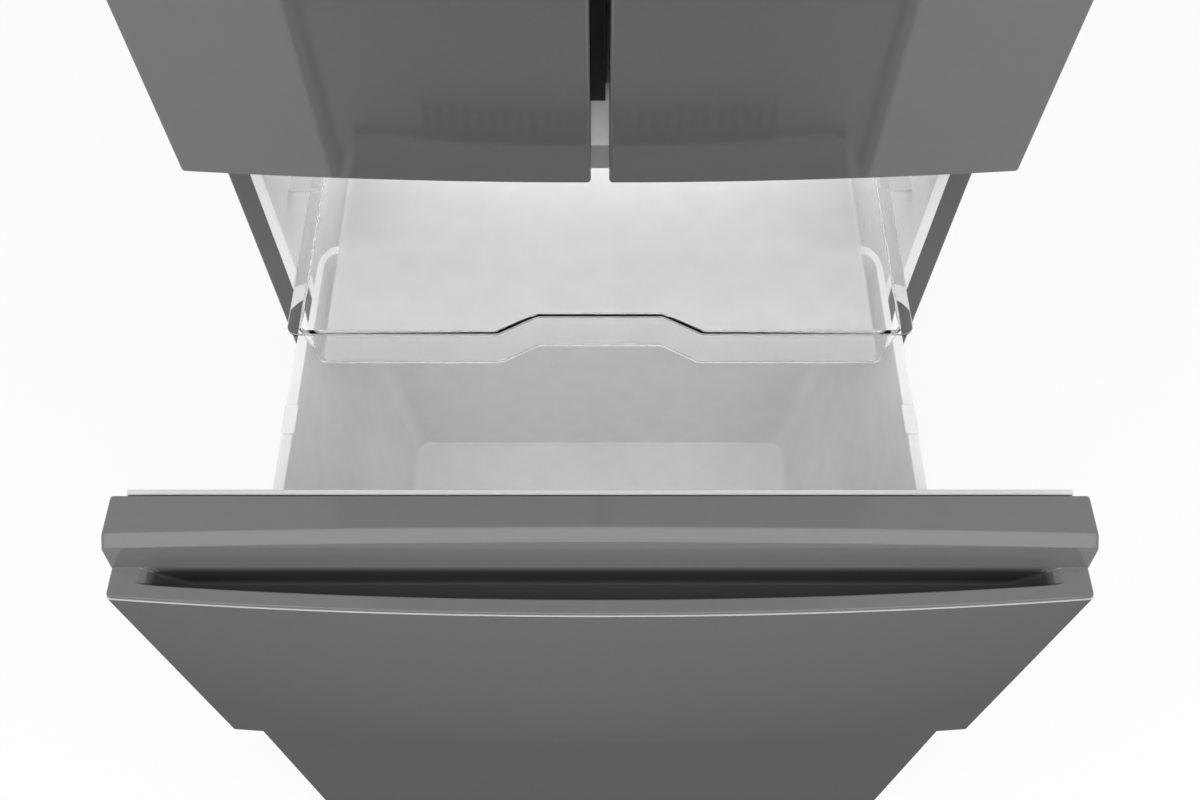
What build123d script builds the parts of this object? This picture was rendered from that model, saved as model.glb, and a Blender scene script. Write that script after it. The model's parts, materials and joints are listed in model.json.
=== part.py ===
from build123d import *
import math
import os

# Bottom freezer refrigerator: two hinged upper doors, one pull-out freezer drawer.
# Millimetres. +Z up, the front faces -Y, +X to the right as seen from the front. The rest pose
# has the drawer pulled out.

os.makedirs("parts", exist_ok=True)

# ---- cabinet
width = 700.0
cabinet_depth = 595.0
cabinet_top = 1845.0
cabinet_underside = 38.0
sheet = 1.2  # steel sheet
flange = 21.0  # front flange of the side and top sheets
field_inset = 28.0  # raised field of the top sheet, from the sides and the back
field_rise = 1.5
field_corner = 20.0
side_wall = 32.0
liner_wall = 2.5

# ---- compartments
freezer_floor = 185.0
freezer_height = 576.0
divider_height = 106.0
rail_height = 30.0
top_wall = 40.0
fridge_back_wall = 50.0
freezer_back_wall = 65.0
machine_depth = 165.0
machine_height = 223.0
machine_wall = 42.0

# ---- doors and drawer front
panel_gap = 14.0  # cabinet front to the back of a door panel
panel_thickness = 66.0
bow = 13.0  # how far the front stands out at the middle of the width
edge_radius = 6.0
door_overlap = 24.0  # door below the upper compartment's floor
panel_spacing = 13.0  # between the doors and the drawer front
door_gap = 15.0
door_top_gap = 3.0
inner_sheet = 2.7
gasket_width = 18.0
gasket_clearance = 0.3
gasket_inset = 12.0
gasket_end_gap = 8.0
drawer_gasket_inset = 3.5
drawer_gasket_rise = 4.0  # inner edge of the drawer gasket, from the opening and its rail
inner_margin = 2.0  # inner panel inside the edge of its door
drawer_travel = 361.0
drawer_overlap = 140.0  # drawer front below the freezer floor
lower_panel_height = 420.0
lower_panel_setback = 24.5

# ---- drawer top moulding
plateau_depth = 36.0
crest_drop = 29.0
crest_run = 7.0
crest_recess = 6.0  # the crest lies further back at the middle, and its slope is longer there
lip_width = 12.0
pocket_depth = 24.0
pocket_floor = 6.0
pocket_end = 21.0  # from the side of the drawer to the end of the pocket
pocket_corner = 2.5
crest_radius = 9.0
seam_drop = 3.0  # top edge of the front sheet below the ledge

# ---- hinges
hinge_inset = 12.0
hinge_forward = 30.0  # pin ahead of the back of the door
pin_radius = 5.0
pin_clearance = 0.05
pin_depth = 18.0
hinge_plate = 4.0
hinge_arm = 44.0
hinge_reach = 70.0
hinge_margin = 2.0
hinge_bolt_radius = 5.0
hinge_bolt_height = 5.0
hinge_bolts_from_root = (12.0, 40.0)
hinge_tab = 2.0
hinge_tab_gap = 2.5  # from the drawer gasket up to the tab of a middle hinge
cover_height = 20.0
cover_margin = 8.0  # from the hinge plate to the outside of its cover
cover_corner = 7.0
cover_wall = 2.5
cover_outer_wall = 1.0

# ---- clearances
running_clearance = 0.3
slip_clearance = 0.5

# ---- derived places
half = width / 2
front = (drawer_travel + panel_gap + panel_thickness + bow - cabinet_depth) / 2
back = front + cabinet_depth
opening_half = half - flange
interior_half = half - side_wall
base_top = cabinet_underside + sheet
freezer_ceiling = freezer_floor + freezer_height
fridge_floor = freezer_ceiling + divider_height
fridge_ceiling = cabinet_top - top_wall
fridge_back = back - fridge_back_wall
freezer_back = back - freezer_back_wall
machine_front = back - machine_depth
machine_top = base_top + machine_height
panel_back = front - panel_gap
panel_edge = panel_back - panel_thickness
door_bottom = fridge_floor - door_overlap
door_top = cabinet_top - door_top_gap
drawer_top = door_bottom - panel_spacing
drawer_gasket_top = freezer_ceiling + rail_height + gasket_width + drawer_gasket_rise
drawer_bottom = freezer_floor - drawer_overlap
step_z = drawer_bottom + lower_panel_height
bow_circle = (half**2 + bow**2) / (2 * bow)
hinge_x = half - hinge_inset
hinge_y = panel_back - hinge_forward
sides = (("left", -1), ("right", 1))


def bow_at(x, edge):
    # Y of the bowed front at x, where edge is its Y at the sides of the cabinet
    return edge - (math.sqrt(bow_circle**2 - x**2) - (bow_circle - bow))


def block(x1, x2, y1, y2, z1, z2, mode=Mode.ADD):
    with Locations(((x1 + x2) / 2, (y1 + y2) / 2, (z1 + z2) / 2)):
        Box(abs(x2 - x1), abs(y2 - y1), abs(z2 - z1), mode=mode)


def bowed_block(x1, x2, edge, rear, z1, z2, corner=0.0, mode=Mode.ADD):
    # upright block with a flat back at rear and the common bow in front
    middle = (x1 + x2) / 2
    with BuildSketch(Plane.XY.offset(z1)) as plan:
        with BuildLine():
            start, end = (x1, bow_at(x1, edge)), (x2, bow_at(x2, edge))
            ThreePointArc(start, (middle, bow_at(middle, edge)), end)
            Polyline(end, (x2, rear), (x1, rear), start)
        make_face()
        if corner:
            fillet(plan.vertices().sort_by(Axis.Y)[:2], corner)
    extrude(plan.sketch, amount=z2 - z1, mode=mode)


def side_profile(points, x1, x2, mode=Mode.ADD):
    # outline in Y and Z, extruded from x1 to x2
    with BuildSketch(Plane.YZ.offset(x1)) as outline:
        with BuildLine():
            Polyline(points, close=True)
        make_face()
    extrude(outline.sketch, amount=x2 - x1, mode=mode)


def rod(center, radius, length, axis, mode=Mode.ADD):
    # straight round rod, centred on center, along "X", "Y" or "Z"
    turn = {"X": (0, 90, 0), "Y": (90, 0, 0), "Z": (0, 0, 0)}[axis]
    with Locations(Location(center, turn)):
        Cylinder(radius, length, mode=mode)


def save(piece, name):
    piece.part.label = name
    export_step(piece.part, f"parts/{name}.step")


# ================= cabinet =================
for side, s in sides:
    with BuildPart() as side_panel:
        with BuildSketch(Plane.XY.offset(cabinet_underside)) as plan:
            with BuildLine():
                Polyline(
                    (s * half, front),
                    (s * half, back),
                    (s * (half - sheet), back),
                    (s * (half - sheet), front + sheet),
                    (s * opening_half, front + sheet),
                    (s * opening_half, front),
                    close=True,
                )
            make_face()
        extrude(amount=cabinet_top - cabinet_underside)
    save(side_panel, f"side_panel_{side}")

field_front = front + hinge_reach + cover_margin + field_inset
field_back = back - field_inset
with BuildPart() as top_panel:
    block(-half + sheet, half - sheet, front + sheet, back, cabinet_top - sheet, cabinet_top)
    block(-opening_half, opening_half, front, front + sheet, cabinet_top - flange, cabinet_top)
    with BuildSketch(Plane.XY.offset(cabinet_top - sheet)) as field:
        with Locations((0, (field_front + field_back) / 2)):
            RectangleRounded(2 * (half - field_inset), field_back - field_front, field_corner)
    extrude(field.sketch, amount=sheet + field_rise)
save(top_panel, "top_panel")

with BuildPart() as back_panel:
    block(-half + sheet, half - sheet, back - sheet, back, machine_top, cabinet_top - sheet)
save(back_panel, "back_panel")

# ---- feet and rollers stand under the chassis
foot_radius = 18.0
foot_height = 9.0
stem_radius = 5.0
stem_length = 36.0
foot_from_side = 50.0
foot_from_front = 45.0
roller_radius = 18.0
roller_width = 16.0
roller_from_side = 60.0
roller_from_back = 40.0
axle_radius = 3.0
fork_wall = 2.0
foot_y = front + foot_from_front
roller_y = back - roller_from_back
stem_top = foot_height + stem_length

with BuildPart() as base_frame:
    block(-half + sheet, half - sheet, front + sheet, back, cabinet_underside, base_top)
    block(-opening_half, opening_half, front, front + sheet, cabinet_underside, freezer_floor)
    for side, s in sides:
        rod((s * (half - foot_from_side), foot_y, cabinet_underside), stem_radius + pin_clearance,
            stem_length, "Z", mode=Mode.SUBTRACT)
        roller_x = s * (half - roller_from_side)
        cheek_inner = roller_width / 2 + slip_clearance
        for cheek in (-1, 1):
            near = roller_x + cheek * cheek_inner
            far = roller_x + cheek * (cheek_inner + fork_wall)
            block(near, far, roller_y - axle_radius * 3, roller_y + axle_radius * 3,
                  roller_radius - axle_radius * 2, cabinet_underside)
        rod((roller_x, roller_y, roller_radius), axle_radius, 2 * (cheek_inner + fork_wall), "X")
save(base_frame, "base_frame")

with BuildPart() as insulation:
    block(-half + sheet, half - sheet, front + sheet, back - sheet, base_top, cabinet_top - sheet)
    liner_half = interior_half + liner_wall
    block(-liner_half, liner_half, front, fridge_back + liner_wall,
          fridge_floor - liner_wall, fridge_ceiling + liner_wall, mode=Mode.SUBTRACT)
    freezer_step_y = machine_front - machine_wall
    freezer_step_z = machine_top + machine_wall
    side_profile(
        [
            (front, freezer_floor - liner_wall),
            (freezer_step_y + liner_wall, freezer_floor - liner_wall),
            (freezer_step_y + liner_wall, freezer_step_z - liner_wall),
            (freezer_back + liner_wall, freezer_step_z - liner_wall),
            (freezer_back + liner_wall, freezer_ceiling + liner_wall),
            (front, freezer_ceiling + liner_wall),
        ],
        -liner_half,
        liner_half,
        mode=Mode.SUBTRACT,
    )
    block(-half, half, machine_front, back, 0, machine_top, mode=Mode.SUBTRACT)
    for side, s in sides:
        rod((s * (half - foot_from_side), foot_y, cabinet_underside),
            stem_radius + slip_clearance, 2 * (stem_top + slip_clearance - cabinet_underside), "Z",
            mode=Mode.SUBTRACT)
save(insulation, "insulation")

# ---- liners: tubs open to the front, with shelf and tray ledges
ledge_depth = 9.0
ledge_height = 8.0
shelf_levels = (1280.0, 1530.0)
crisper_cover_z = 1095.0
shelf_thickness = 5.0
shelf_front = front + 130.0

with BuildPart() as fridge_liner:
    block(-liner_half, liner_half, front + sheet, fridge_back + liner_wall,
          fridge_floor - liner_wall, fridge_ceiling + liner_wall)
    block(-opening_half, opening_half, front, front + sheet, fridge_floor, cabinet_top - flange)
    block(-interior_half, interior_half, front - 1, fridge_back, fridge_floor, fridge_ceiling,
          mode=Mode.SUBTRACT)
    for level in (crisper_cover_z, *shelf_levels):
        for side, s in sides:
            block(s * (interior_half - ledge_depth), s * interior_half, shelf_front, fridge_back,
                  level - ledge_height, level)
save(fridge_liner, "fridge_liner")

tray_rim_z = 679.0
tray_flange_thickness = 3.0
tray_side_gap = 24.0
tray_flange = 14.0
tray_wall = 2.5
tray_depth = 57.0
tray_draft = 8.0  # how far each side wall leans in, top to bottom
tray_back_gap = 27.0  # to the evaporator cover with the drawer in
tray_front_open = 131.0  # ahead of the cabinet with the drawer out
tray_front_shut = 45.0  # behind the cabinet front with the drawer in
tray_ledge_gap = 3.5
tray_ledge_thickness = 4.0
tray_ledge_start = 50.0  # from the cabinet front
tray_ledge_end = 60.0  # from the back wall of the compartment
tray_half = interior_half - tray_side_gap
cover_from_back = 58.0
cover_y = freezer_back - cover_from_back  # front of the evaporator cover
ledge_z = tray_rim_z - tray_flange_thickness - slip_clearance
tray_ledge_inner = tray_half - tray_flange + tray_ledge_gap + tray_wall

with BuildPart() as freezer_liner:
    side_profile(
        [
            (front + sheet, freezer_floor - liner_wall),
            (freezer_step_y + liner_wall, freezer_floor - liner_wall),
            (freezer_step_y + liner_wall, freezer_step_z - liner_wall),
            (freezer_back + liner_wall, freezer_step_z - liner_wall),
            (freezer_back + liner_wall, freezer_ceiling + liner_wall),
            (front + sheet, freezer_ceiling + liner_wall),
        ],
        -liner_half,
        liner_half,
    )
    block(-opening_half, opening_half, front, front + sheet, freezer_floor, freezer_ceiling)
    side_profile(
        [
            (front - 1, freezer_floor),
            (freezer_step_y, freezer_floor),
            (freezer_step_y, freezer_step_z),
            (freezer_back, freezer_step_z),
            (freezer_back, freezer_ceiling),
            (front - 1, freezer_ceiling),
        ],
        -interior_half,
        interior_half,
        mode=Mode.SUBTRACT,
    )
    for side, s in sides:
        block(s * tray_ledge_inner, s * interior_half, front + tray_ledge_start,
              freezer_back - tray_ledge_end, ledge_z - tray_ledge_thickness, ledge_z)
save(freezer_liner, "freezer_liner")

with BuildPart() as front_rail:
    block(-opening_half, opening_half, front, front + sheet, freezer_ceiling,
          freezer_ceiling + rail_height)
save(front_rail, "front_rail")

with BuildPart() as divider_cover:
    block(-opening_half, opening_half, front, front + sheet, freezer_ceiling + rail_height,
          fridge_floor)
save(divider_cover, "divider_cover")

# ---- hinges: a plate that reaches out over the door, with a pin into the door
hinge_root = front + hinge_reach


def hinge_plan(s, z, y_rear, thickness):
    with BuildSketch(Plane.XY.offset(z)) as plan:
        with BuildLine():
            Polyline(
                (s * (hinge_x + hinge_inset - hinge_margin), hinge_y),
                (s * (half - hinge_margin), y_rear),
                (s * (half - hinge_arm), y_rear),
                (s * (hinge_x - hinge_inset + hinge_margin), hinge_y),
                close=True,
            )
        make_face()
        with Locations((s * hinge_x, hinge_y)):
            Circle(hinge_inset - hinge_margin)
    extrude(plan.sketch, amount=thickness)


for side, s in sides:
    with BuildPart() as upper_hinge:
        hinge_plan(s, cabinet_top, hinge_root, hinge_plate)
        rod((s * hinge_x, hinge_y, door_top - pin_depth / 2 + door_top_gap / 2), pin_radius,
            pin_depth + door_top_gap, "Z")
        for from_root in hinge_bolts_from_root:
            with Locations((s * (half - hinge_arm / 2), hinge_root - from_root,
                            cabinet_top + hinge_plate)):
                Cylinder(hinge_bolt_radius, hinge_bolt_height)
    save(upper_hinge, f"upper_hinge_{side}")

    with BuildPart() as hinge_cover:
        cover_inner = half - hinge_arm - cover_margin
        cover_front = hinge_y - 2 * cover_margin
        cover_rear = hinge_root + cover_margin
        cover_outer = half - slip_clearance
        block(s * cover_inner, s * cover_outer, cover_front, cover_rear, cabinet_top,
              cabinet_top + cover_height)
        fillet(hinge_cover.edges().filter_by(Axis.Z), cover_corner)
        fillet(hinge_cover.faces().sort_by(Axis.Z)[-1].edges(), cover_corner / 2)
        block(s * (cover_inner + cover_wall), s * (cover_outer - cover_outer_wall),
              cover_front + cover_wall, cover_rear - cover_wall, cabinet_top,
              cabinet_top + cover_height / 2, mode=Mode.SUBTRACT)
    save(hinge_cover, f"hinge_cover_{side}")

    with BuildPart() as middle_hinge:
        plate_z = drawer_top + (panel_spacing - hinge_plate) / 2
        hinge_plan(s, plate_z, front, hinge_plate)
        block(s * (half - hinge_arm), s * (half - hinge_margin), front - hinge_tab, front,
              drawer_gasket_top + hinge_tab_gap, plate_z)
        rod((s * hinge_x, hinge_y, (plate_z + door_bottom + pin_depth) / 2), pin_radius,
            door_bottom + pin_depth - plate_z, "Z")
    save(middle_hinge, f"middle_hinge_{side}")

# ================= doors =================
dyke_inset = 46.0  # from the side of the cabinet to the moulded wall of the inner panel
dyke_middle = 42.0  # from the middle of the gap
dyke_ends = 44.0  # from the door's top and bottom
dyke_wall = 12.0
dyke_depth = 32.0
recess = 8.0
gasket_middle = 24.0  # free edge of a door gasket, from the middle of the cabinet
grip_length = 420.0
grip_bottom = 1090.0
grip_depth = 17.0
grip_width = 26.0
grip_wall = 1.5
bin_levels = (900.0, 1215.0, 1530.0)
bin_height = 95.0
bin_reach = 96.0
bin_wall = 2.5
flap_pin_radius = 2.0
flap_x = -14.0
flap_tip_gap = 2.9  # to the edge of the right door, which the flap passes as it swings
flap_depth = 12.8
flap_end_gap = 3.3
flap_lower_gap = 16.0
flap_to_cabinet = 0.6
lug_reach = 5.0  # from the flap's axis to the free side of the lugs that hold it
lug_rear = front - 0.8
grip_from_back = 14.0
grip_cut = 5.0
gap_half = door_gap / 2
flap_tip = gap_half - flap_tip_gap
flap_z1, flap_z2 = door_bottom + flap_lower_gap, door_top - flap_end_gap
flap_y = front - flap_to_cabinet - flap_depth / 2
grip_y = panel_back - grip_from_back

for side, s in sides:
    outer_x, inner_x = s * half, s * gap_half
    x1, x2 = sorted((outer_x, inner_x))
    free = -s  # from the hinge towards the free edge

    with BuildPart() as door_skin:
        bowed_block(x1, x2, panel_edge, panel_back, door_bottom, door_top, corner=edge_radius)
        bowed_block(x1 + sheet, x2 - sheet, panel_edge + sheet, panel_back + 1,
                    door_bottom + sheet, door_top - sheet, corner=edge_radius - sheet,
                    mode=Mode.SUBTRACT)
        block(inner_x - grip_cut, inner_x + grip_cut, grip_y - grip_width, grip_y, grip_bottom,
              grip_bottom + grip_length, mode=Mode.SUBTRACT)
        for z in (door_bottom, door_top):
            rod((s * hinge_x, hinge_y, z), pin_radius + pin_clearance, 10, "Z", mode=Mode.SUBTRACT)
    save(door_skin, f"door_skin_{side}")

    with BuildPart() as door_inner:
        bowed_block(x1 + sheet, x2 - sheet, panel_edge + sheet, panel_back, door_bottom + sheet,
                    door_top - sheet, corner=edge_radius - sheet)
        block(s * (half - inner_margin), s * (gasket_middle - inner_margin), panel_back,
              panel_back + inner_sheet, door_bottom + inner_margin, door_top - inner_margin)
        dyke_outer, dyke_free = s * (half - dyke_inset), s * dyke_middle
        block(dyke_outer, dyke_free, panel_back, panel_back + dyke_depth, door_bottom + dyke_ends,
              door_top - dyke_ends)
        block(dyke_outer - s * dyke_wall, dyke_free + s * dyke_wall, panel_back - recess,
              panel_back + dyke_depth, door_bottom + dyke_ends + dyke_wall,
              door_top - dyke_ends - dyke_wall, mode=Mode.SUBTRACT)
        block(inner_x, inner_x - free * grip_depth, grip_y - grip_width, grip_y, grip_bottom,
              grip_bottom + grip_length, mode=Mode.SUBTRACT)
        for z in (door_bottom, door_top):
            rod((s * hinge_x, hinge_y, z), pin_radius + pin_clearance,
                2 * (pin_depth + slip_clearance), "Z", mode=Mode.SUBTRACT)
        if side == "left":
            for z1, z2 in ((door_bottom + inner_margin, flap_z1 - running_clearance),
                           (flap_z2 + running_clearance, door_top - inner_margin)):
                block(flap_x - flap_depth / 2, flap_x + lug_reach, panel_back, lug_rear, z1, z2)
                rod((flap_x, flap_y, (z1 + z2) / 2), flap_pin_radius + pin_clearance, 2 * (z2 - z1),
                    "Z", mode=Mode.SUBTRACT)
    save(door_inner, f"door_inner_{side}")

    with BuildPart() as door_gasket:
        gasket_outer, gasket_free = s * (half - gasket_inset), s * gasket_middle
        gasket_bottom, gasket_top = door_bottom + gasket_end_gap, door_top - gasket_end_gap
        block(gasket_outer, gasket_free, panel_back + inner_sheet, front - gasket_clearance,
              gasket_bottom, gasket_top)
        block(gasket_outer - s * gasket_width, gasket_free + s * gasket_width,
              panel_back + inner_sheet, front, gasket_bottom + gasket_width,
              gasket_top - gasket_width, mode=Mode.SUBTRACT)
    save(door_gasket, f"door_gasket_{side}")

    with BuildPart() as door_grip:
        block(inner_x, inner_x - free * grip_depth, grip_y - grip_width, grip_y, grip_bottom,
              grip_bottom + grip_length)
        block(inner_x, inner_x - free * (grip_depth - grip_wall), grip_y - grip_width + grip_wall,
              grip_y - grip_wall, grip_bottom + grip_wall, grip_bottom + grip_length - grip_wall,
              mode=Mode.SUBTRACT)
    save(door_grip, f"door_grip_{side}")

    with BuildPart() as door_bins:
        bin_x1, bin_x2 = sorted((dyke_outer - s * dyke_wall, dyke_free + s * dyke_wall))
        bin_back = panel_back - recess
        bin_front = bin_back + bin_reach
        for level in bin_levels:
            block(bin_x1, bin_x2, bin_back, bin_front, level, level + bin_height)
            block(bin_x1 + bin_wall, bin_x2 - bin_wall, bin_back + bin_wall, bin_front - bin_wall,
                  level + bin_wall, level + bin_height, mode=Mode.SUBTRACT)
    save(door_bins, f"door_bins_{side}")

with BuildPart() as mullion_flap:
    flap_middle = (flap_z1 + flap_z2) / 2
    rod((flap_x, flap_y, flap_middle), flap_depth / 2, flap_z2 - flap_z1, "Z")
    block(flap_x, flap_tip, flap_y - flap_depth / 2, flap_y + flap_depth / 2, flap_z1, flap_z2)
    rod((flap_x, flap_y, flap_middle), flap_pin_radius, flap_z2 - flap_z1 + 2, "Z")
save(mullion_flap, "mullion_flap")

# ================= freezer drawer, pulled out =================
drawer_back = panel_back - drawer_travel
drawer_edge = drawer_back - panel_thickness
ledge_level = drawer_top - crest_drop
handle_bottom = ledge_level - pocket_depth - pocket_floor
crest_y = drawer_back - plateau_depth
skin_top = ledge_level - seam_drop

with BuildPart() as drawer_handle:
    bowed_block(-half, half, drawer_edge, drawer_back, skin_top, drawer_top, corner=edge_radius)
    bowed_block(-half + sheet, half - sheet, drawer_edge + sheet, drawer_back, handle_bottom,
                skin_top, corner=edge_radius - sheet)
    # the step down in front of the crest: straight at its foot, bowed back at its top
    slope_foot = crest_y - crest_run
    beyond_side, beyond_front = half + 40, drawer_edge - 80
    with BuildSketch(Plane.XY.offset(ledge_level)) as ahead_foot:
        with BuildLine():
            ThreePointArc((-beyond_side, slope_foot), (0, slope_foot + 0.01),
                          (beyond_side, slope_foot))
            Polyline((beyond_side, slope_foot), (beyond_side, beyond_front),
                     (-beyond_side, beyond_front), (-beyond_side, slope_foot))
        make_face()
    with BuildSketch(Plane.XY.offset(drawer_top)) as ahead_top:
        with BuildLine():
            ThreePointArc((-beyond_side, crest_y), (0, crest_y + crest_recess),
                          (beyond_side, crest_y))
            Polyline((beyond_side, crest_y), (beyond_side, beyond_front),
                     (-beyond_side, beyond_front), (-beyond_side, crest_y))
        make_face()
    loft([ahead_foot.sketch, ahead_top.sketch], ruled=True, mode=Mode.SUBTRACT)
    # the finger pocket between the slope and the lip
    pocket_half = half - pocket_end
    pocket_rear = slope_foot - 1
    pocket_edge = drawer_edge + lip_width
    with BuildSketch(Plane.XY.offset(ledge_level)) as pocket:
        with BuildLine():
            end_front = bow_at(pocket_half, pocket_edge)
            Polyline((-pocket_half, end_front), (-pocket_half, pocket_rear),
                     (pocket_half, pocket_rear), (pocket_half, end_front))
            ThreePointArc((pocket_half, end_front), (0, bow_at(0, pocket_edge)),
                          (-pocket_half, end_front))
        make_face()
        fillet(pocket.vertices(), pocket_corner)
    extrude(pocket.sketch, amount=-pocket_depth, mode=Mode.SUBTRACT)
    top_edges = drawer_handle.edges().filter_by_position(Axis.Z, drawer_top - 0.01, drawer_top + 0.01)
    fillet(top_edges.filter_by_position(Axis.Y, crest_y - 1, crest_y + crest_recess + 1)
           .sort_by(SortBy.LENGTH)[-1], crest_radius)
save(drawer_handle, "drawer_handle")

lower_edge = drawer_edge + lower_panel_setback
with BuildPart() as drawer_skin:
    bowed_block(-half, half, drawer_edge, drawer_back, step_z, skin_top, corner=edge_radius)
    bowed_block(-half + sheet, half - sheet, drawer_edge + sheet, drawer_back + 1, step_z + sheet,
                skin_top + 1, corner=edge_radius - sheet, mode=Mode.SUBTRACT)
    bowed_block(-half + sheet, half - sheet, lower_edge + sheet, drawer_back + 1, step_z - 1,
                step_z + sheet + 1, mode=Mode.SUBTRACT)
save(drawer_skin, "drawer_skin")

with BuildPart() as drawer_lower_panel:
    bowed_block(-half, half, lower_edge, drawer_back, drawer_bottom, step_z, corner=edge_radius)
    bowed_block(-half + sheet, half - sheet, lower_edge + sheet, drawer_back + 1,
                drawer_bottom + sheet, step_z + 1, corner=edge_radius - sheet, mode=Mode.SUBTRACT)
save(drawer_lower_panel, "drawer_lower_panel")

drawer_gasket_half = half - drawer_gasket_inset
drawer_gasket_bottom = freezer_floor - gasket_width - drawer_gasket_rise

with BuildPart() as drawer_inner:
    bowed_block(-half + sheet, half - sheet, drawer_edge + sheet, drawer_back, step_z + sheet,
                handle_bottom, corner=edge_radius - sheet)
    bowed_block(-half + sheet, half - sheet, lower_edge + sheet, drawer_back,
                drawer_bottom + sheet, step_z, corner=edge_radius - sheet)
    bowed_block(-half + sheet, half - sheet, lower_edge + sheet, drawer_back, step_z - 1,
                step_z + 2 * sheet, corner=edge_radius - sheet)
    block(-drawer_gasket_half, drawer_gasket_half, drawer_back, drawer_back + inner_sheet,
          drawer_bottom + inner_margin, drawer_gasket_top)
save(drawer_inner, "drawer_inner")

drawer_shift = -drawer_travel
with BuildPart() as drawer_gasket:
    ring_y1 = drawer_back + inner_sheet
    ring_y2 = front - gasket_clearance + drawer_shift
    block(-drawer_gasket_half, drawer_gasket_half, ring_y1, ring_y2, drawer_gasket_bottom,
          drawer_gasket_top)
    block(-drawer_gasket_half + gasket_width, drawer_gasket_half - gasket_width, ring_y1,
          ring_y2 + 1, drawer_gasket_bottom + gasket_width, drawer_gasket_top - gasket_width,
          mode=Mode.SUBTRACT)
save(drawer_gasket, "drawer_gasket")

# ---- telescopic slides, three members on each side
slide_z = 440.0
member_wall = 1.5
rail_half_height = 23.0
mid_half_height = 19.0
inner_half_height = 13.5
slide_space = 16.0  # from the liner wall to the basket carrier
slide_step = 5.0  # first member behind the cabinet front
slide_end_gap = 3.0
rail_lip, mid_web, mid_lip, inner_lip = 4.5, 8.0, 13.5, 7.0  # from the inner member's web
slide_start = front + slide_step
slide_length = freezer_step_y - slide_start - slide_end_gap
slide_inner_x = interior_half - slide_space
mid_shift = drawer_shift / 2


def channel(s, x_web, x_lip, half_height, y1, y2):
    # web at x_web, lips reaching to x_lip
    toward = math.copysign(member_wall, x_lip - x_web)
    block(s * x_web, s * (x_web + toward), y1, y2, slide_z - half_height, slide_z + half_height)
    for lip in (-1, 1):
        block(s * x_web, s * x_lip, y1, y2, slide_z + lip * half_height,
              slide_z + lip * (half_height - member_wall))


for side, s in sides:
    with BuildPart() as slide_rail:
        channel(s, interior_half, slide_inner_x + rail_lip, rail_half_height, slide_start,
                slide_start + slide_length)
    save(slide_rail, f"slide_rail_{side}")

    with BuildPart() as slide_mid:
        channel(s, slide_inner_x + mid_web, slide_inner_x + mid_lip, mid_half_height,
                slide_start + mid_shift, slide_start + slide_length + mid_shift)
    save(slide_mid, f"slide_mid_{side}")

    with BuildPart() as slide_inner:
        channel(s, slide_inner_x, slide_inner_x + inner_lip, inner_half_height,
                slide_start + drawer_shift, slide_start + slide_length + drawer_shift)
    save(slide_inner, f"slide_inner_{side}")

# ---- basket: deep drafted tub with an outward rim, carried on two upright plates
basket_rim_z = 619.0
basket_rim = 8.0
basket_rim_thickness = 9.0
basket_rim_wall = 2.5
basket_floor_z = 240.0
basket_wall = 2.5
basket_side_draft = 51.5
basket_end_draft = 14.0
basket_step = 4.0  # rim behind the cabinet front with the drawer in
basket_start = front + basket_step + drawer_shift
basket_corner = 22.0
carrier_wall = 1.8
carrier_flange = 5.0
carrier_flange_start, carrier_flange_end = 6.0, 8.0  # from the ends of the basket's rim
carrier_foot = 26.0
carrier_foot_drop = 40.0
carrier_gap = 0.2


def basket_section(z, x_half, y1, y2, radius):
    with BuildSketch(Plane.XY.offset(z)) as section:
        with Locations((0, (y1 + y2) / 2)):
            RectangleRounded(2 * x_half, y2 - y1, radius)
    return section.sketch


basket_rim_half = slide_inner_x - slip_clearance
basket_top_half = basket_rim_half - basket_rim
basket_floor_half = basket_top_half - basket_side_draft
basket_end = basket_start + slide_length
with BuildPart() as freezer_basket:
    extrude(basket_section(basket_rim_z - basket_rim_thickness, basket_rim_half, basket_start,
                           basket_end, basket_corner + basket_rim), amount=basket_rim_thickness)
    extrude(basket_section(basket_rim_z - basket_rim_thickness, basket_rim_half - basket_rim_wall,
                           basket_start + basket_rim_wall, basket_end - basket_rim_wall,
                           basket_corner + basket_rim - basket_rim_wall),
            amount=basket_rim_thickness - basket_rim_wall, mode=Mode.SUBTRACT)
    loft([
        basket_section(basket_floor_z - basket_wall, basket_floor_half + basket_wall,
                       basket_start + basket_rim + basket_end_draft,
                       basket_end - basket_rim - basket_end_draft, basket_corner),
        basket_section(basket_rim_z, basket_top_half, basket_start + basket_rim,
                       basket_end - basket_rim, basket_corner),
    ], ruled=True)
    loft([
        basket_section(basket_floor_z, basket_floor_half,
                       basket_start + basket_rim + basket_end_draft + basket_wall,
                       basket_end - basket_rim - basket_end_draft - basket_wall,
                       basket_corner - basket_wall),
        basket_section(basket_rim_z + 0.01, basket_top_half - basket_wall,
                       basket_start + basket_rim + basket_wall,
                       basket_end - basket_rim - basket_wall, basket_corner - basket_wall),
    ], ruled=True, mode=Mode.SUBTRACT)
save(freezer_basket, "freezer_basket")

carrier_top = basket_rim_z - basket_rim_thickness - carrier_gap
for side, s in sides:
    with BuildPart() as basket_carrier:
        plate_x = slide_inner_x
        carrier_front = drawer_back + inner_sheet
        block(s * (plate_x - carrier_wall), s * plate_x, carrier_front,
              slide_start + slide_length + drawer_shift, slide_z - rail_half_height, carrier_top)
        block(s * (plate_x - carrier_wall - carrier_flange), s * plate_x,
              basket_start + carrier_flange_start, basket_end - carrier_flange_end,
              carrier_top - carrier_wall, carrier_top)
        block(s * (plate_x - carrier_foot), s * plate_x, carrier_front,
              carrier_front + carrier_wall, slide_z - rail_half_height,
              carrier_top - carrier_foot_drop)
    save(basket_carrier, f"basket_carrier_{side}")

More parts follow.
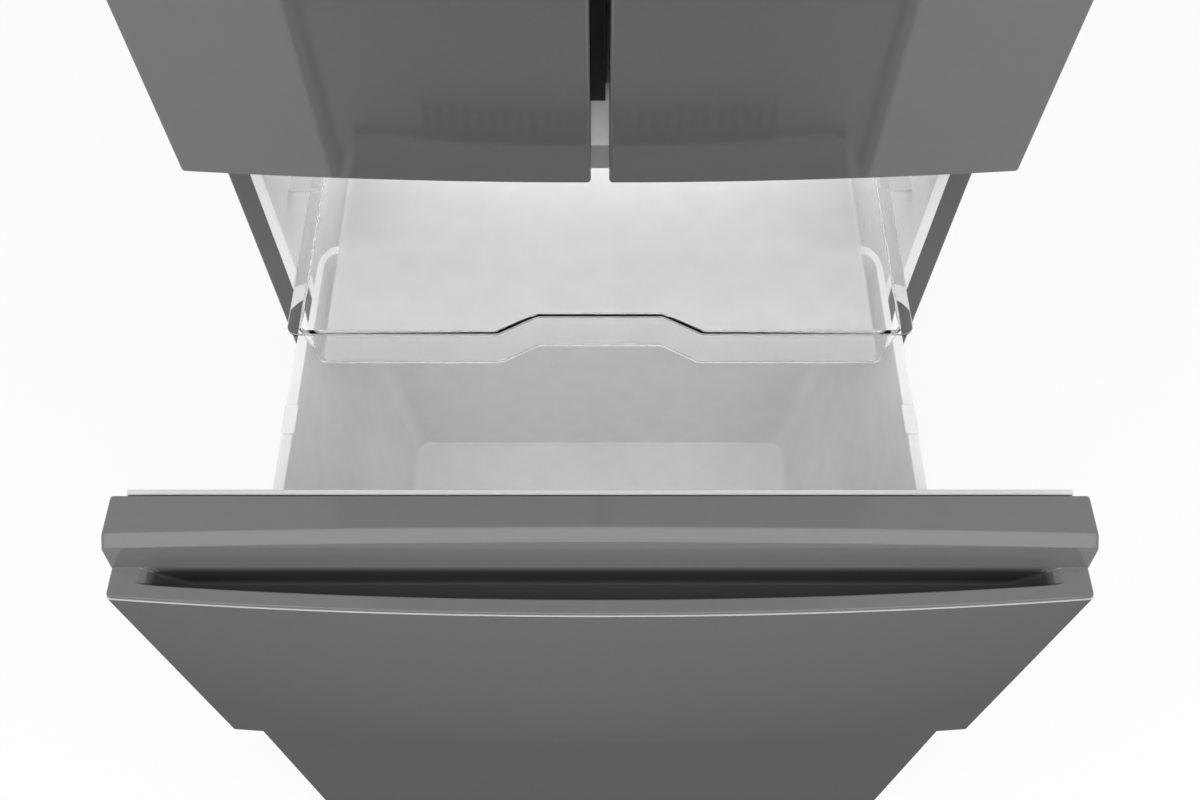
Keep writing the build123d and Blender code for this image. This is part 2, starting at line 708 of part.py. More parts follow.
# ---- tray: shallow clear tub with a wide rim; its front steps back at the middle as a grip
grip_back = 20.0
grip_flat = 60.0
grip_ramp = 96.0
tray_corner = 10.0
tray_least_corner = 6.0
tray_front_rim = 5.0
grip_corner = 14.0
tray_start = front - tray_front_open
tray_end = cover_y - tray_back_gap - tray_front_shut - tray_front_open


def tray_outline(z, inset, floor=0.0):
    # rim outline drawn in by inset all round, and by floor more at the sides
    x = tray_half - inset - floor
    y1, y2 = tray_start + inset, tray_end - inset
    with BuildSketch(Plane.XY.offset(z)) as outline:
        with BuildLine():
            Polyline(
                (-x, y1), (-grip_ramp, y1), (-grip_flat, y1 + grip_back),
                (grip_flat, y1 + grip_back), (grip_ramp, y1), (x, y1), (x, y2), (-x, y2),
                close=True,
            )
        make_face()
        corners = outline.vertices().group_by(Axis.X)
        fillet(corners[0] + corners[-1], max(tray_corner - inset, tray_least_corner))
        fillet(outline.vertices().filter_by_position(Axis.X, -grip_ramp - 1, grip_ramp + 1),
               grip_corner)
    return outline.sketch


tray_floor_z = tray_rim_z - tray_depth
side_rim = tray_flange - tray_front_rim
with BuildPart() as freezer_tray:
    extrude(tray_outline(tray_rim_z - tray_flange_thickness, 0), amount=tray_flange_thickness)
    loft([
        tray_outline(tray_floor_z, tray_front_rim - tray_wall, side_rim + tray_draft),
        tray_outline(tray_rim_z, tray_front_rim - tray_wall, side_rim),
    ], ruled=True)
    loft([
        tray_outline(tray_floor_z + tray_wall, tray_front_rim, side_rim + tray_draft),
        tray_outline(tray_rim_z + 0.01, tray_front_rim, side_rim),
    ], ruled=True, mode=Mode.SUBTRACT)
save(freezer_tray, "freezer_tray")

# ================= inside the upper compartment =================
shelf_gap = 0.6
shelf_back_gap = 42.0
shelf_corner = 6.0
with BuildPart() as glass_shelves:
    for level in (crisper_cover_z, *shelf_levels):
        block(-interior_half + shelf_gap, interior_half - shelf_gap, shelf_front,
              fridge_back - shelf_back_gap, level, level + shelf_thickness)
    fillet(glass_shelves.edges().filter_by(Axis.Z), shelf_corner)
save(glass_shelves, "glass_shelves")

crisper_front = front + 160.0
crisper_length = 300.0
crisper_wall = 2.5
crisper_front_wall = 6.0
crisper_side_gap = 4.0
crisper_top_gap = 4.0
crisper_corner = 8.0
crisper_bar_depth, crisper_bar_height = 10.0, 6.0
crisper_bar_share = 0.6  # of the crisper's width
crisper_bar_drop = 16.0
for side, s in sides:
    with BuildPart() as crisper:
        x1, x2 = sorted((s * crisper_side_gap, s * (interior_half - crisper_side_gap)))
        z1 = fridge_floor + slip_clearance
        z2 = crisper_cover_z - ledge_height - crisper_top_gap
        block(x1, x2, crisper_front, crisper_front + crisper_length, z1, z2)
        fillet(crisper.edges().filter_by(Axis.Z), crisper_corner)
        block(x1 + crisper_wall, x2 - crisper_wall, crisper_front + crisper_front_wall,
              crisper_front + crisper_length - crisper_wall, z1 + crisper_wall, z2,
              mode=Mode.SUBTRACT)
        with Locations(((x1 + x2) / 2, crisper_front - crisper_bar_depth / 2,
                        z2 - crisper_bar_drop)):
            Box((x2 - x1) * crisper_bar_share, crisper_bar_depth, crisper_bar_height)
    save(crisper, f"crisper_{side}")

duct_half = 70.0
duct_depth = 28.0
duct_vent_levels = (1190, 1240, 1410, 1460, 1610, 1660, 1710)
duct_vent_middle = 35.0
duct_vent_width = 34.0
duct_vent_height = 9.0
duct_vent_depth = 8.0
duct_above_shelf, duct_below_ceiling = 40.0, 20.0
duct_corner = 10.0
duct_front = fridge_back - duct_depth
with BuildPart() as air_duct:
    block(-duct_half, duct_half, duct_front, fridge_back, crisper_cover_z + duct_above_shelf,
          fridge_ceiling - duct_below_ceiling)
    fillet(air_duct.edges().filter_by(Axis.Z).sort_by(Axis.Y)[:2], duct_corner)
    for level in duct_vent_levels:
        for s in (-1, 1):
            middle = s * duct_vent_middle
            block(middle - duct_vent_width / 2, middle + duct_vent_width / 2, duct_front - 1,
                  duct_front + duct_vent_depth, level, level + duct_vent_height,
                  mode=Mode.SUBTRACT)
save(air_duct, "air_duct")

lamp_half = 75.0
lamp_length = 80.0
lamp_height = 14.0
lamp_front = front + 290.0
with BuildPart() as lamp_cover:
    block(-lamp_half, lamp_half, lamp_front, lamp_front + lamp_length,
          fridge_ceiling - lamp_height, fridge_ceiling)
    fillet(lamp_cover.faces().sort_by(Axis.Z)[0].edges(), lamp_height / 2)
save(lamp_cover, "lamp_cover")

button_radius = 6.0
button_length = 12.0
control_half = 95.0
control_depth = 70.0
control_height = 36.0
control_corner = 5.0
control_front = front + 150.0
control_z = fridge_ceiling - control_height / 2
with BuildPart() as control_panel:
    block(-control_half, control_half, control_front, control_front + control_depth,
          fridge_ceiling - control_height, fridge_ceiling)
    fillet(control_panel.edges().filter_by(Axis.Z), control_corner)
    rod((0, control_front, control_z), button_radius + running_clearance, 2.5 * button_length, "Y",
        mode=Mode.SUBTRACT)
save(control_panel, "control_panel")

with BuildPart() as control_button:
    rod((0, control_front + button_length / 3, control_z), button_radius, button_length, "Y")
    fillet(control_button.faces().sort_by(Axis.Y)[0].edges(), 1)
save(control_button, "control_button")

# ================= cold and machine side =================
cover_sheet = 3.0
vent_columns, vent_rows = 9, 4
vent_pitch_x, vent_pitch_z = 40.0, 18.0
vent_width, vent_height = 26.0, 6.0
vent_bottom = 510.0
fan_radius = 42.0
fan_z = 690.0
fan_hub_radius, fan_hub_length = 14.0, 14.0
fan_shaft_radius, fan_shaft_length = 3.0, 28.0
fan_blades = 5
blade_root = 10.0
blade_chord, blade_thickness, blade_angle = 17.0, 2.0, 38.0
shroud_clearance, shroud_wall, shroud_depth = 3.0, 3.0, 15.0
shroud_spokes, spoke_width = 3, 5.0
fan_y = cover_y + shroud_depth + fan_hub_length / 2
with BuildPart() as evaporator_cover:
    block(-interior_half + 1, interior_half - 1, cover_y, cover_y + cover_sheet,
          freezer_step_z + 1, freezer_ceiling - 1)
    for row in range(vent_rows):
        z = vent_bottom + vent_pitch_z * row
        for column in range(vent_columns):
            x = vent_pitch_x * (column - (vent_columns - 1) / 2)
            block(x - vent_width / 2, x + vent_width / 2, cover_y - 1, cover_y + cover_sheet + 1,
                  z, z + vent_height, mode=Mode.SUBTRACT)
    shroud_inner = fan_radius + shroud_clearance
    shroud_center = (0, cover_y + shroud_depth / 2, fan_z)
    rod(shroud_center, shroud_inner + shroud_wall, shroud_depth, "Y")
    rod(shroud_center, shroud_inner, shroud_depth + 2, "Y", mode=Mode.SUBTRACT)
    for spoke in range(shroud_spokes):
        turn = 180 / shroud_spokes * spoke
        with Locations(Location((0, cover_y + cover_sheet / 2, fan_z), (0, turn, 0))):
            Box(2 * shroud_inner + shroud_wall, cover_sheet, spoke_width)
    rod((0, cover_y + 1 + fan_shaft_length / 2, fan_z), fan_shaft_radius, fan_shaft_length, "Y")
save(evaporator_cover, "evaporator_cover")

with BuildPart() as freezer_fan:
    rod((0, fan_y, fan_z), fan_hub_radius, fan_hub_length, "Y")
    blade_tip = fan_radius - 2
    for blade in range(fan_blades):
        turn = 360 / fan_blades * blade
        with Locations(Location((0, fan_y, fan_z), (0, turn, 0))):
            with Locations(Location(((blade_root + blade_tip) / 2, 0, 0), (blade_angle, 0, 0))):
                Box(blade_tip - blade_root, blade_thickness, blade_chord)
    rod((0, fan_y, fan_z), fan_shaft_radius + pin_clearance, fan_hub_length + 6, "Y",
        mode=Mode.SUBTRACT)
save(freezer_fan, "freezer_fan")

coil_radius = 4.0
coil_rows, coil_pitch = 4, 36.0
coil_bottom = 445.0
coil_side_gap = 58.0
coil_from_back = 26.0
coil_half = interior_half - coil_side_gap
coil_y = freezer_back - coil_from_back
fin_count, fin_thickness = 21, 1.0
fin_half_depth, fin_margin = 18.0, 17.0
bracket_half = 5.0
bracket_grip = 12.0  # how far a bracket reaches over the end of the coil
coil_end = 20.0  # bare tube beyond the last fin
with BuildPart() as evaporator:
    for row in range(coil_rows):
        rod((0, coil_y, coil_bottom + coil_pitch * row), coil_radius, 2 * coil_half, "X")
    coil_top = coil_bottom + coil_pitch * (coil_rows - 1)
    fin_span = 2 * (coil_half - coil_end)
    for fin in range(fin_count):
        x = fin_span * (fin / (fin_count - 1) - 0.5)
        block(x - fin_thickness / 2, x + fin_thickness / 2, coil_y - fin_half_depth,
              coil_y + fin_half_depth, coil_bottom - fin_margin, coil_top + fin_margin)
    for bend in range(coil_rows - 1):
        end = (-1) ** bend
        z = coil_bottom + coil_pitch * bend
        block(end * (coil_half - coil_radius), end * coil_half, coil_y - coil_radius,
              coil_y + coil_radius, z, z + coil_pitch)
    bracket_z = coil_bottom + coil_pitch
    for s in (-1, 1):
        block(s * (coil_half - bracket_grip), s * interior_half, coil_y - bracket_half,
              coil_y + bracket_half, bracket_z - bracket_half, bracket_z + bracket_half)
save(evaporator, "evaporator")

compressor_radius = 62.0
compressor_height = 150.0
compressor_dome = 34.0
compressor_from_side = 180.0
mount_length, mount_width, mount_plate = 180.0, 90.0, 4.0
grommet_radius, grommet_height = 9.0, 10.0
grommet_from_end, grommet_from_edge = 12.0, 11.0
shell_rise = 2.0  # shell over the underside of its plate
compressor_x = half - compressor_from_side
compressor_y = (machine_front + back) / 2
with BuildPart() as compressor:
    mount_z = base_top + grommet_height
    with Locations((compressor_x, compressor_y, mount_z + shell_rise + compressor_height / 2)):
        Cylinder(compressor_radius, compressor_height)
    fillet(compressor.edges().filter_by(GeomType.CIRCLE), compressor_dome)
    block(compressor_x - mount_length / 2, compressor_x + mount_length / 2,
          compressor_y - mount_width / 2, compressor_y + mount_width / 2, mount_z,
          mount_z + mount_plate)
    with Locations((compressor_x, compressor_y, base_top + grommet_height / 2)):
        with GridLocations(mount_length - 2 * grommet_from_end,
                           mount_width - 2 * grommet_from_edge, 2, 2):
            Cylinder(grommet_radius, grommet_height)
save(compressor, "compressor")

condenser_from_side = 70.0
condenser_length = 300.0
condenser_tube_radius = 3.0
condenser_rows, condenser_row_pitch = 6, 28.0
condenser_lines, condenser_line_pitch = 2, 50.0
condenser_bottom = base_top + 25.0
condenser_from_wall = 40.0
plate_count, plate_pitch, plate_thickness = 13, 23.0, 1.0
plate_margin = 14.0
with BuildPart() as condenser:
    tube_x = -half + condenser_from_side + condenser_length / 2
    tube_y = machine_front + condenser_from_wall
    for row in range(condenser_rows):
        for line in range(condenser_lines):
            rod((tube_x, tube_y + condenser_line_pitch * line,
                 condenser_bottom + condenser_row_pitch * row),
                condenser_tube_radius, condenser_length, "X")
    plate_top = condenser_bottom + condenser_row_pitch * (condenser_rows - 1) + plate_margin
    for plate in range(plate_count):
        x = tube_x + plate_pitch * (plate - (plate_count - 1) / 2)
        block(x, x + plate_thickness, tube_y - plate_margin,
              tube_y + condenser_line_pitch * (condenser_lines - 1) + plate_margin,
              base_top, plate_top)
save(condenser, "condenser")

inlet_half_width, inlet_half_height, inlet_wall = 14.0, 10.0, 3.0
inlet_depth = 26.0
inlet_from_side = 65.0
inlet_x, inlet_z = half - inlet_from_side, 190.0
prong_spacing = 6.0
prong_half_width, prong_half_height = 1.0, 2.5
louvre_rows, louvre_columns = 7, 10
louvre_pitch_x, louvre_pitch_z = 44.0, 18.0
louvre_width, louvre_height = 32.0, 6.0
louvre_from_side, louvre_bottom = 60.0, 75.0
rear_sheet = 1.5
with BuildPart() as machine_cover:
    block(-half + sheet, half - sheet, back - rear_sheet, back, base_top, machine_top)
    for row in range(louvre_rows):
        z = louvre_bottom + louvre_pitch_z * row
        for column in range(louvre_columns):
            x = -half + louvre_from_side + louvre_pitch_x * column
            block(x, x + louvre_width, back - 2 * rear_sheet, back + 1, z, z + louvre_height,
                  mode=Mode.SUBTRACT)
    block(inlet_x - inlet_half_width, inlet_x + inlet_half_width, back - 2 * rear_sheet, back + 1,
          inlet_z - inlet_half_height, inlet_z + inlet_half_height, mode=Mode.SUBTRACT)
save(machine_cover, "machine_cover")

with BuildPart() as power_inlet:
    block(inlet_x - inlet_half_width, inlet_x + inlet_half_width, back - inlet_depth, back,
          inlet_z - inlet_half_height, inlet_z + inlet_half_height)
    block(inlet_x - inlet_half_width + inlet_wall, inlet_x + inlet_half_width - inlet_wall,
          back - inlet_depth + 2 * inlet_wall, back + 1, inlet_z - inlet_half_height + inlet_wall,
          inlet_z + inlet_half_height - inlet_wall, mode=Mode.SUBTRACT)
    for prong in (-1, 0, 1):
        prong_x = inlet_x + prong * prong_spacing
        block(prong_x - prong_half_width, prong_x + prong_half_width,
              back - inlet_depth + inlet_wall, back - 2 * inlet_wall,
              inlet_z - prong_half_height, inlet_z + prong_half_height)
save(power_inlet, "power_inlet")

# ================= feet and rollers =================
for side, s in sides:
    with BuildPart() as foot:
        foot_x = s * (half - foot_from_side)
        rod((foot_x, foot_y, foot_height / 2), foot_radius, foot_height, "Z")
        fillet(foot.edges().filter_by(GeomType.CIRCLE).sort_by(Axis.Z)[-1], foot_height / 3)
        rod((foot_x, foot_y, foot_height + stem_length / 2), stem_radius, stem_length, "Z")
    save(foot, f"foot_{side}")

    with BuildPart() as roller:
        roller_x = s * (half - roller_from_side)
        rod((roller_x, roller_y, roller_radius), roller_radius, roller_width, "X")
        rod((roller_x, roller_y, roller_radius), axle_radius + pin_clearance, roller_width + 2, "X",
            mode=Mode.SUBTRACT)
    save(roller, f"roller_{side}")
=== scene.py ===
import json
import math

import bmesh
import bpy
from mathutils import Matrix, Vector


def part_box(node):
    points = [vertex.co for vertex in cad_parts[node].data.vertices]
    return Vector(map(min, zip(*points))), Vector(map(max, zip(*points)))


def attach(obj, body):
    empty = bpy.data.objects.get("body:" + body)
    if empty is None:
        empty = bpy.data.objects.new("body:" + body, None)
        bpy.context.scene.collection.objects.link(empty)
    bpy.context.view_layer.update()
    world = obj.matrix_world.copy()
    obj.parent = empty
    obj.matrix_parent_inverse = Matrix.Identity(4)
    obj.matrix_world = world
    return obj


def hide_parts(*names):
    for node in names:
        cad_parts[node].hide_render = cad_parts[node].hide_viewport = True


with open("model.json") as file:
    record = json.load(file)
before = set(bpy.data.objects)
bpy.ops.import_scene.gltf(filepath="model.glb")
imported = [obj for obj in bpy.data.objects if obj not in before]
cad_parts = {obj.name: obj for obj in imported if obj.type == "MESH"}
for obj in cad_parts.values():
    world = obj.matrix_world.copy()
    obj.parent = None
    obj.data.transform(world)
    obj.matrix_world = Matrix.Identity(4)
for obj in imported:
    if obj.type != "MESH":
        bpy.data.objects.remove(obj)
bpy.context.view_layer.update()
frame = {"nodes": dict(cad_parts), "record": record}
mm = 0.001

# places read from the frame

cabinetLow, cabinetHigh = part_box("side_panel_right")
halfWidth = cabinetHigh.x
frontY, backY = cabinetLow.y, cabinetHigh.y
cabinetTop = cabinetHigh.z
openingHalf = cabinetLow.x
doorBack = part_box("door_skin_right")[1].y
handleLow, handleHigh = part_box("drawer_handle")
drawerBack, drawerTop = handleHigh.y, handleHigh.z
panelDepth = 66 * mm  # thickness of door and drawer front at the sides
bow = drawerBack - panelDepth - handleLow.y  # how far the fronts stand out at mid width
sheetDepth = 1.2 * mm  # steel of doors, drawer front and cabinet
bowRadius = (halfWidth ** 2 + bow ** 2) / (2 * bow)
sideSigns = {"left": -1, "right": 1}


def bowAt(x, edge):
    return edge - (math.sqrt(bowRadius ** 2 - x * x) - (bowRadius - bow))


# mesh helpers


def roundedPath(corners, radii, steps=6, closed=False):
    # 2-D path through the corners, each turned by an arc of its own radius
    path = []
    last = len(corners) - 1
    for i, (corner, radius) in enumerate(zip(corners, radii)):
        point = Vector(corner)
        if radius == 0 or (not closed and i in (0, last)):
            path.append(point)
            continue
        before = (Vector(corners[i - 1]) - point).normalized()
        after = (Vector(corners[(i + 1) % (last + 1)]) - point).normalized()
        turn = math.pi - before.angle(after)
        reach = radius * math.tan(turn / 2)
        centre = point + (before + after).normalized() * (radius / math.cos(turn / 2))
        start = point + before * reach - centre
        end = point + after * reach - centre
        for k in range(steps + 1):
            share = k / steps
            blend = start * math.sin((1 - share) * turn) + end * math.sin(share * turn)
            path.append(centre + blend / math.sin(turn))
    return path


def loft(loops, capEnd=True, wrap=False, closedLoops=True):
    # faces between rings of points, capped at the ends or, with wrap, joined end to end
    points = [tuple(p) for loop in loops for p in loop]
    size, rows = len(loops[0]), len(loops)
    faces = []
    for row in range(rows if wrap else rows - 1):
        a, b = row * size, (row + 1) % rows * size
        for i in range(size if closedLoops else size - 1):
            k = (i + 1) % size
            faces.append((a + i, a + k, b + k, b + i))
    if not wrap:
        faces.append(tuple(range(size))[::-1])
    if capEnd and not wrap:
        faces.append(tuple(range((rows - 1) * size, rows * size)))
    return points, faces


def meshObject(name, points, faces, turnOut=True):
    mesh = bpy.data.meshes.new(name)
    mesh.from_pydata(points, [], faces)
    work = bmesh.new()
    work.from_mesh(mesh)
    bmesh.ops.remove_doubles(work, verts=work.verts, dist=1e-6)
    if turnOut:
        bmesh.ops.recalc_face_normals(work, faces=work.faces)
    work.to_mesh(mesh)
    work.free()
    thing = bpy.data.objects.new(name, mesh)
    bpy.context.scene.collection.objects.link(thing)
    return thing


def bakeModifiers(thing):
    graph = bpy.context.evaluated_depsgraph_get()
    baked = bpy.data.meshes.new_from_object(thing.evaluated_get(graph))
    old = thing.data
    thing.modifiers.clear()
    thing.data = baked
    bpy.data.meshes.remove(old)
    baked.name = thing.name


def giveWall(thing, thickness):
    # wall of a sheet, from its outer face inwards
    wall = thing.modifiers.new("wall", "SOLIDIFY")
    wall.thickness = thickness
    wall.offset = -1
    bakeModifiers(thing)


def joined(name, things):
    # one object out of several, each with its own materials kept
    work = bpy.data.meshes.new(name)
    gathered = bmesh.new()
    slots = []
    for thing in things:
        start = len(gathered.faces)
        gathered.from_mesh(thing.data)
        gathered.faces.ensure_lookup_table()
        for face in gathered.faces[start:]:
            material = thing.data.materials[face.material_index]
            if material not in slots:
                slots.append(material)
            face.material_index = slots.index(material)
    gathered.to_mesh(work)
    gathered.free()
    for material in slots:
        work.materials.append(material)
    for thing in things:
        old = thing.data
        bpy.data.objects.remove(thing)
        bpy.data.meshes.remove(old)
    whole = bpy.data.objects.new(name, work)
    bpy.context.scene.collection.objects.link(whole)
    return whole


def finishPiece(thing, body, material, replaced=(), sharpAngle=32, even=True):
    mesh = thing.data
    if material:
        mesh.materials.clear()
        mesh.materials.append(material)
    mesh.polygons.foreach_set("use_smooth", [True] * len(mesh.polygons))
    mesh.set_sharp_from_angle(angle=math.radians(sharpAngle))
    if even:
        weighted = thing.modifiers.new("even", "WEIGHTED_NORMAL")
        weighted.keep_sharp = True  # large faces stay flat beside their rounded edges
        bakeModifiers(thing)
    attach(thing, body)
    if replaced:
        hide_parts(*replaced)
    return thing


def edgeRows(radius, steps=5):
    # inset and rise of the rows that round an edge, from the end face to the side
    turns = [math.pi / 2 * k / steps for k in range(steps + 1)]
    return [(radius * (1 - math.sin(t)), radius * (1 - math.cos(t))) for t in turns]


def roundedBox(name, low, high, radius, axis=2, steps=4, edge=None):
    # block with rounded corners about one axis and rounded edges at both ends
    edge = radius / 2 if edge is None else edge
    u, v = [k for k in range(3) if k != axis]
    rows = edgeRows(edge, steps)
    levels = [(inset, low[axis] + rise) for inset, rise in rows]
    levels += [(inset, high[axis] - rise) for inset, rise in reversed(rows)]
    loops = []
    for inset, level in levels:
        a, b = low[u] + inset, high[u] - inset
        c, d = low[v] + inset, high[v] - inset
        corner = max(radius - inset, radius * 0.2)  # never quite sharp
        ring = roundedPath([(a, c), (b, c), (b, d), (a, d)], [corner] * 4, steps, closed=True)
        loop = []
        for p in ring:
            place = [0, 0, 0]
            place[u], place[v], place[axis] = p.x, p.y, level
            loop.append(place)
        loops.append(loop)
    return meshObject(name, *loft(loops))


print("stage: frame read")

# shader node groups


def newGroup(name, inputs, outputs):
    group = bpy.data.node_groups.new(name, "ShaderNodeTree")
    for label, value in inputs:
        socket = group.interface.new_socket(label, in_out="INPUT", socket_type="NodeSocketFloat")
        socket.default_value = value
    for label in outputs:
        group.interface.new_socket(label, in_out="OUTPUT", socket_type="NodeSocketFloat")
    return group, group.nodes.new("NodeGroupInput"), group.nodes.new("NodeGroupOutput")


def addNode(tree, kind, values=(), **settings):
    node = tree.nodes.new(kind)
    for key, value in settings.items():
        setattr(node, key, value)
    for socket, value in dict(values).items():
        node.inputs[socket].default_value = value
    return node


def wire(tree, *joins):
    # each join: a node and its output, the node it feeds and the input there
    for source, giver, target, taker in joins:
        tree.links.new(source.outputs[giver], target.inputs[taker])


def makeGrain():
    # fine texture of a moulded or painted skin: a slow wave and a fine grain
    group, entry, leave = newGroup(
        "surfaceGrain",
        [("Wave Scale", 120.0), ("Grain Scale", 1400.0), ("Grain Share", 0.3)],
        ["Height", "Tone"],
    )
    place = addNode(group, "ShaderNodeTexCoord")
    wave = addNode(group, "ShaderNodeTexNoise", {"Detail": 2.0, "Roughness": 0.45})
    grain = addNode(group, "ShaderNodeTexNoise", {"Detail": 3.0, "Roughness": 0.6})
    blend = addNode(group, "ShaderNodeMix")
    wire(group, (place, "Object", wave, "Vector"), (place, "Object", grain, "Vector"),
         (entry, "Wave Scale", wave, "Scale"), (entry, "Grain Scale", grain, "Scale"),
         (entry, "Grain Share", blend, "Factor"), (wave, "Fac", blend, "A"),
         (grain, "Fac", blend, "B"), (blend, "Result", leave, "Height"),
         (wave, "Fac", leave, "Tone"))
    return group


def makeHandling():
    # where hands and cloths have been: large soft patches broken by short streaks
    group, entry, leave = newGroup(
        "handlingMarks", [("Patch Scale", 3.0), ("Streak Scale", 40.0)], ["Mask"]
    )
    place = addNode(group, "ShaderNodeTexCoord")
    stretch = addNode(group, "ShaderNodeMapping", {"Scale": (1.0, 1.0, 0.25)})
    patch = addNode(group, "ShaderNodeTexNoise", {"Detail": 4.0, "Roughness": 0.55})
    streak = addNode(group, "ShaderNodeTexNoise", {"Detail": 5.0, "Roughness": 0.7})
    product = addNode(group, "ShaderNodeMath", operation="MULTIPLY")
    spread = addNode(group, "ShaderNodeMapRange", {"From Min": 0.1, "From Max": 0.5})
    wire(group, (place, "Object", patch, "Vector"), (place, "Object", stretch, "Vector"),
         (stretch, "Vector", streak, "Vector"), (entry, "Patch Scale", patch, "Scale"),
         (entry, "Streak Scale", streak, "Scale"), (patch, "Fac", product, 0),
         (streak, "Fac", product, 1), (product, "Value", spread, "Value"),
         (spread, "Result", leave, "Mask"))
    return group


def makeSpangle():
    # crystal pattern of galvanised sheet
    group, entry, leave = newGroup("zincSpangle", [("Crystal Scale", 90.0)], ["Tone"])
    place = addNode(group, "ShaderNodeTexCoord")
    cells = addNode(group, "ShaderNodeTexVoronoi", {"Randomness": 1.0})
    split = addNode(group, "ShaderNodeSeparateColor")
    wire(group, (place, "Object", cells, "Vector"), (entry, "Crystal Scale", cells, "Scale"),
         (cells, "Color", split, "Color"), (split, "Red", leave, "Tone"))
    return group


grainGroup, handlingGroup, spangleGroup = makeGrain(), makeHandling(), makeSpangle()


def finish(name, spec):
    # one material: two tones, a range of roughness, a grain, and marks of handling
    material = bpy.data.materials.new(name)
    material.use_nodes = True
    tree = material.node_tree
    shader = tree.nodes["Principled BSDF"]
    waveScale, grainScale, grainShare = spec["grain"]
    grain = addNode(tree, "ShaderNodeGroup", {
        "Wave Scale": waveScale, "Grain Scale": grainScale, "Grain Share": grainShare,
    }, node_tree=grainGroup)
    marks = addNode(tree, "ShaderNodeGroup", {"Patch Scale": spec.get("patch", 3.0)},
                    node_tree=handlingGroup)
    tone = addNode(tree, "ShaderNodeMix", {6: (*spec["dark"], 1), 7: (*spec["light"], 1)},
                   data_type="RGBA")  # sockets 6 and 7 are its two colours, output 2 the blend
    toneSource = grain.outputs["Tone"]
    if spec.get("spangle"):
        crystals = addNode(tree, "ShaderNodeGroup", {"Crystal Scale": spec["spangle"]},
                           node_tree=spangleGroup)
        toneSource = crystals.outputs["Tone"]
    tree.links.new(toneSource, tone.inputs["Factor"])
    colour = tone.outputs[2]
    if spec.get("recessShade"):
        colour = paintedRecessShade(tree, colour, spec["recessShade"])
    tree.links.new(colour, shader.inputs["Base Color"])
    rough = addNode(tree, "ShaderNodeMapRange",
                    {"To Min": spec["rough"][0], "To Max": spec["rough"][1]})
    bump = addNode(tree, "ShaderNodeBump", {"Strength": spec["bump"], "Distance": 0.2 * mm})
    wire(tree, (marks, "Mask", rough, "Value"), (rough, "Result", shader, "Roughness"),
         (grain, "Height", bump, "Height"), (bump, "Normal", shader, "Normal"))
    for socket, value in spec.get("sockets", {}).items():
        shader.inputs[socket].default_value = value
    if spec.get("gloss"):
        fadeGloss(tree, shader, spec["gloss"])
    if spec.get("clear"):
        letLightThrough(tree, shader, spec["clear"])
    return material


def paintedRecessShade(tree, colour, recessShade):
    # painted shade: darker the further down into a recess
    place = addNode(tree, "ShaderNodeTexCoord")
    split = addNode(tree, "ShaderNodeSeparateXYZ")
    depth = addNode(tree, "ShaderNodeMapRange",
                    {"From Min": recessShade["from"], "From Max": recessShade["to"]})
    blend = addNode(tree, "ShaderNodeMix", {7: (*recessShade["colour"], 1)}, data_type="RGBA")
    wire(tree, (place, "Object", split, "Vector"), (split, "Z", depth, "Value"),
         (depth, "Result", blend, "Factor"))
    tree.links.new(colour, blend.inputs[6])
    return blend.outputs[2]


def fadeGloss(tree, shader, gloss):
    # the clear coat shines where it is faced, and stays quiet at a glancing angle
    weight = addNode(tree, "ShaderNodeLayerWeight", {"Blend": 0.5})
    span = addNode(tree, "ShaderNodeMapRange", {
        "From Min": 0.3, "From Max": 0.75, "To Min": gloss[0], "To Max": gloss[1]})
    wire(tree, (weight, "Facing", span, "Value"), (span, "Result", shader, "Coat Weight"))


def letLightThrough(tree, shader, share):
    # clear plastic and glass cast only a faint shadow, and soft light goes through them
    path = addNode(tree, "ShaderNodeLightPath")
    through = addNode(tree, "ShaderNodeBsdfTransparent")
    either = addNode(tree, "ShaderNodeMath", operation="MAXIMUM")
    part = addNode(tree, "ShaderNodeMath", {1: share}, operation="MULTIPLY")
    blend = addNode(tree, "ShaderNodeMixShader")
    wire(tree, (path, "Is Shadow Ray", either, 0), (path, "Is Diffuse Ray", either, 1),
         (either, "Value", part, 0), (part, "Value", blend, "Fac"), (shader, "BSDF", blend, 1),
         (through, "BSDF", blend, 2),
         (blend, "Shader", tree.nodes["Material Output"], "Surface"))


def grey(value):
    return (value, value, value)


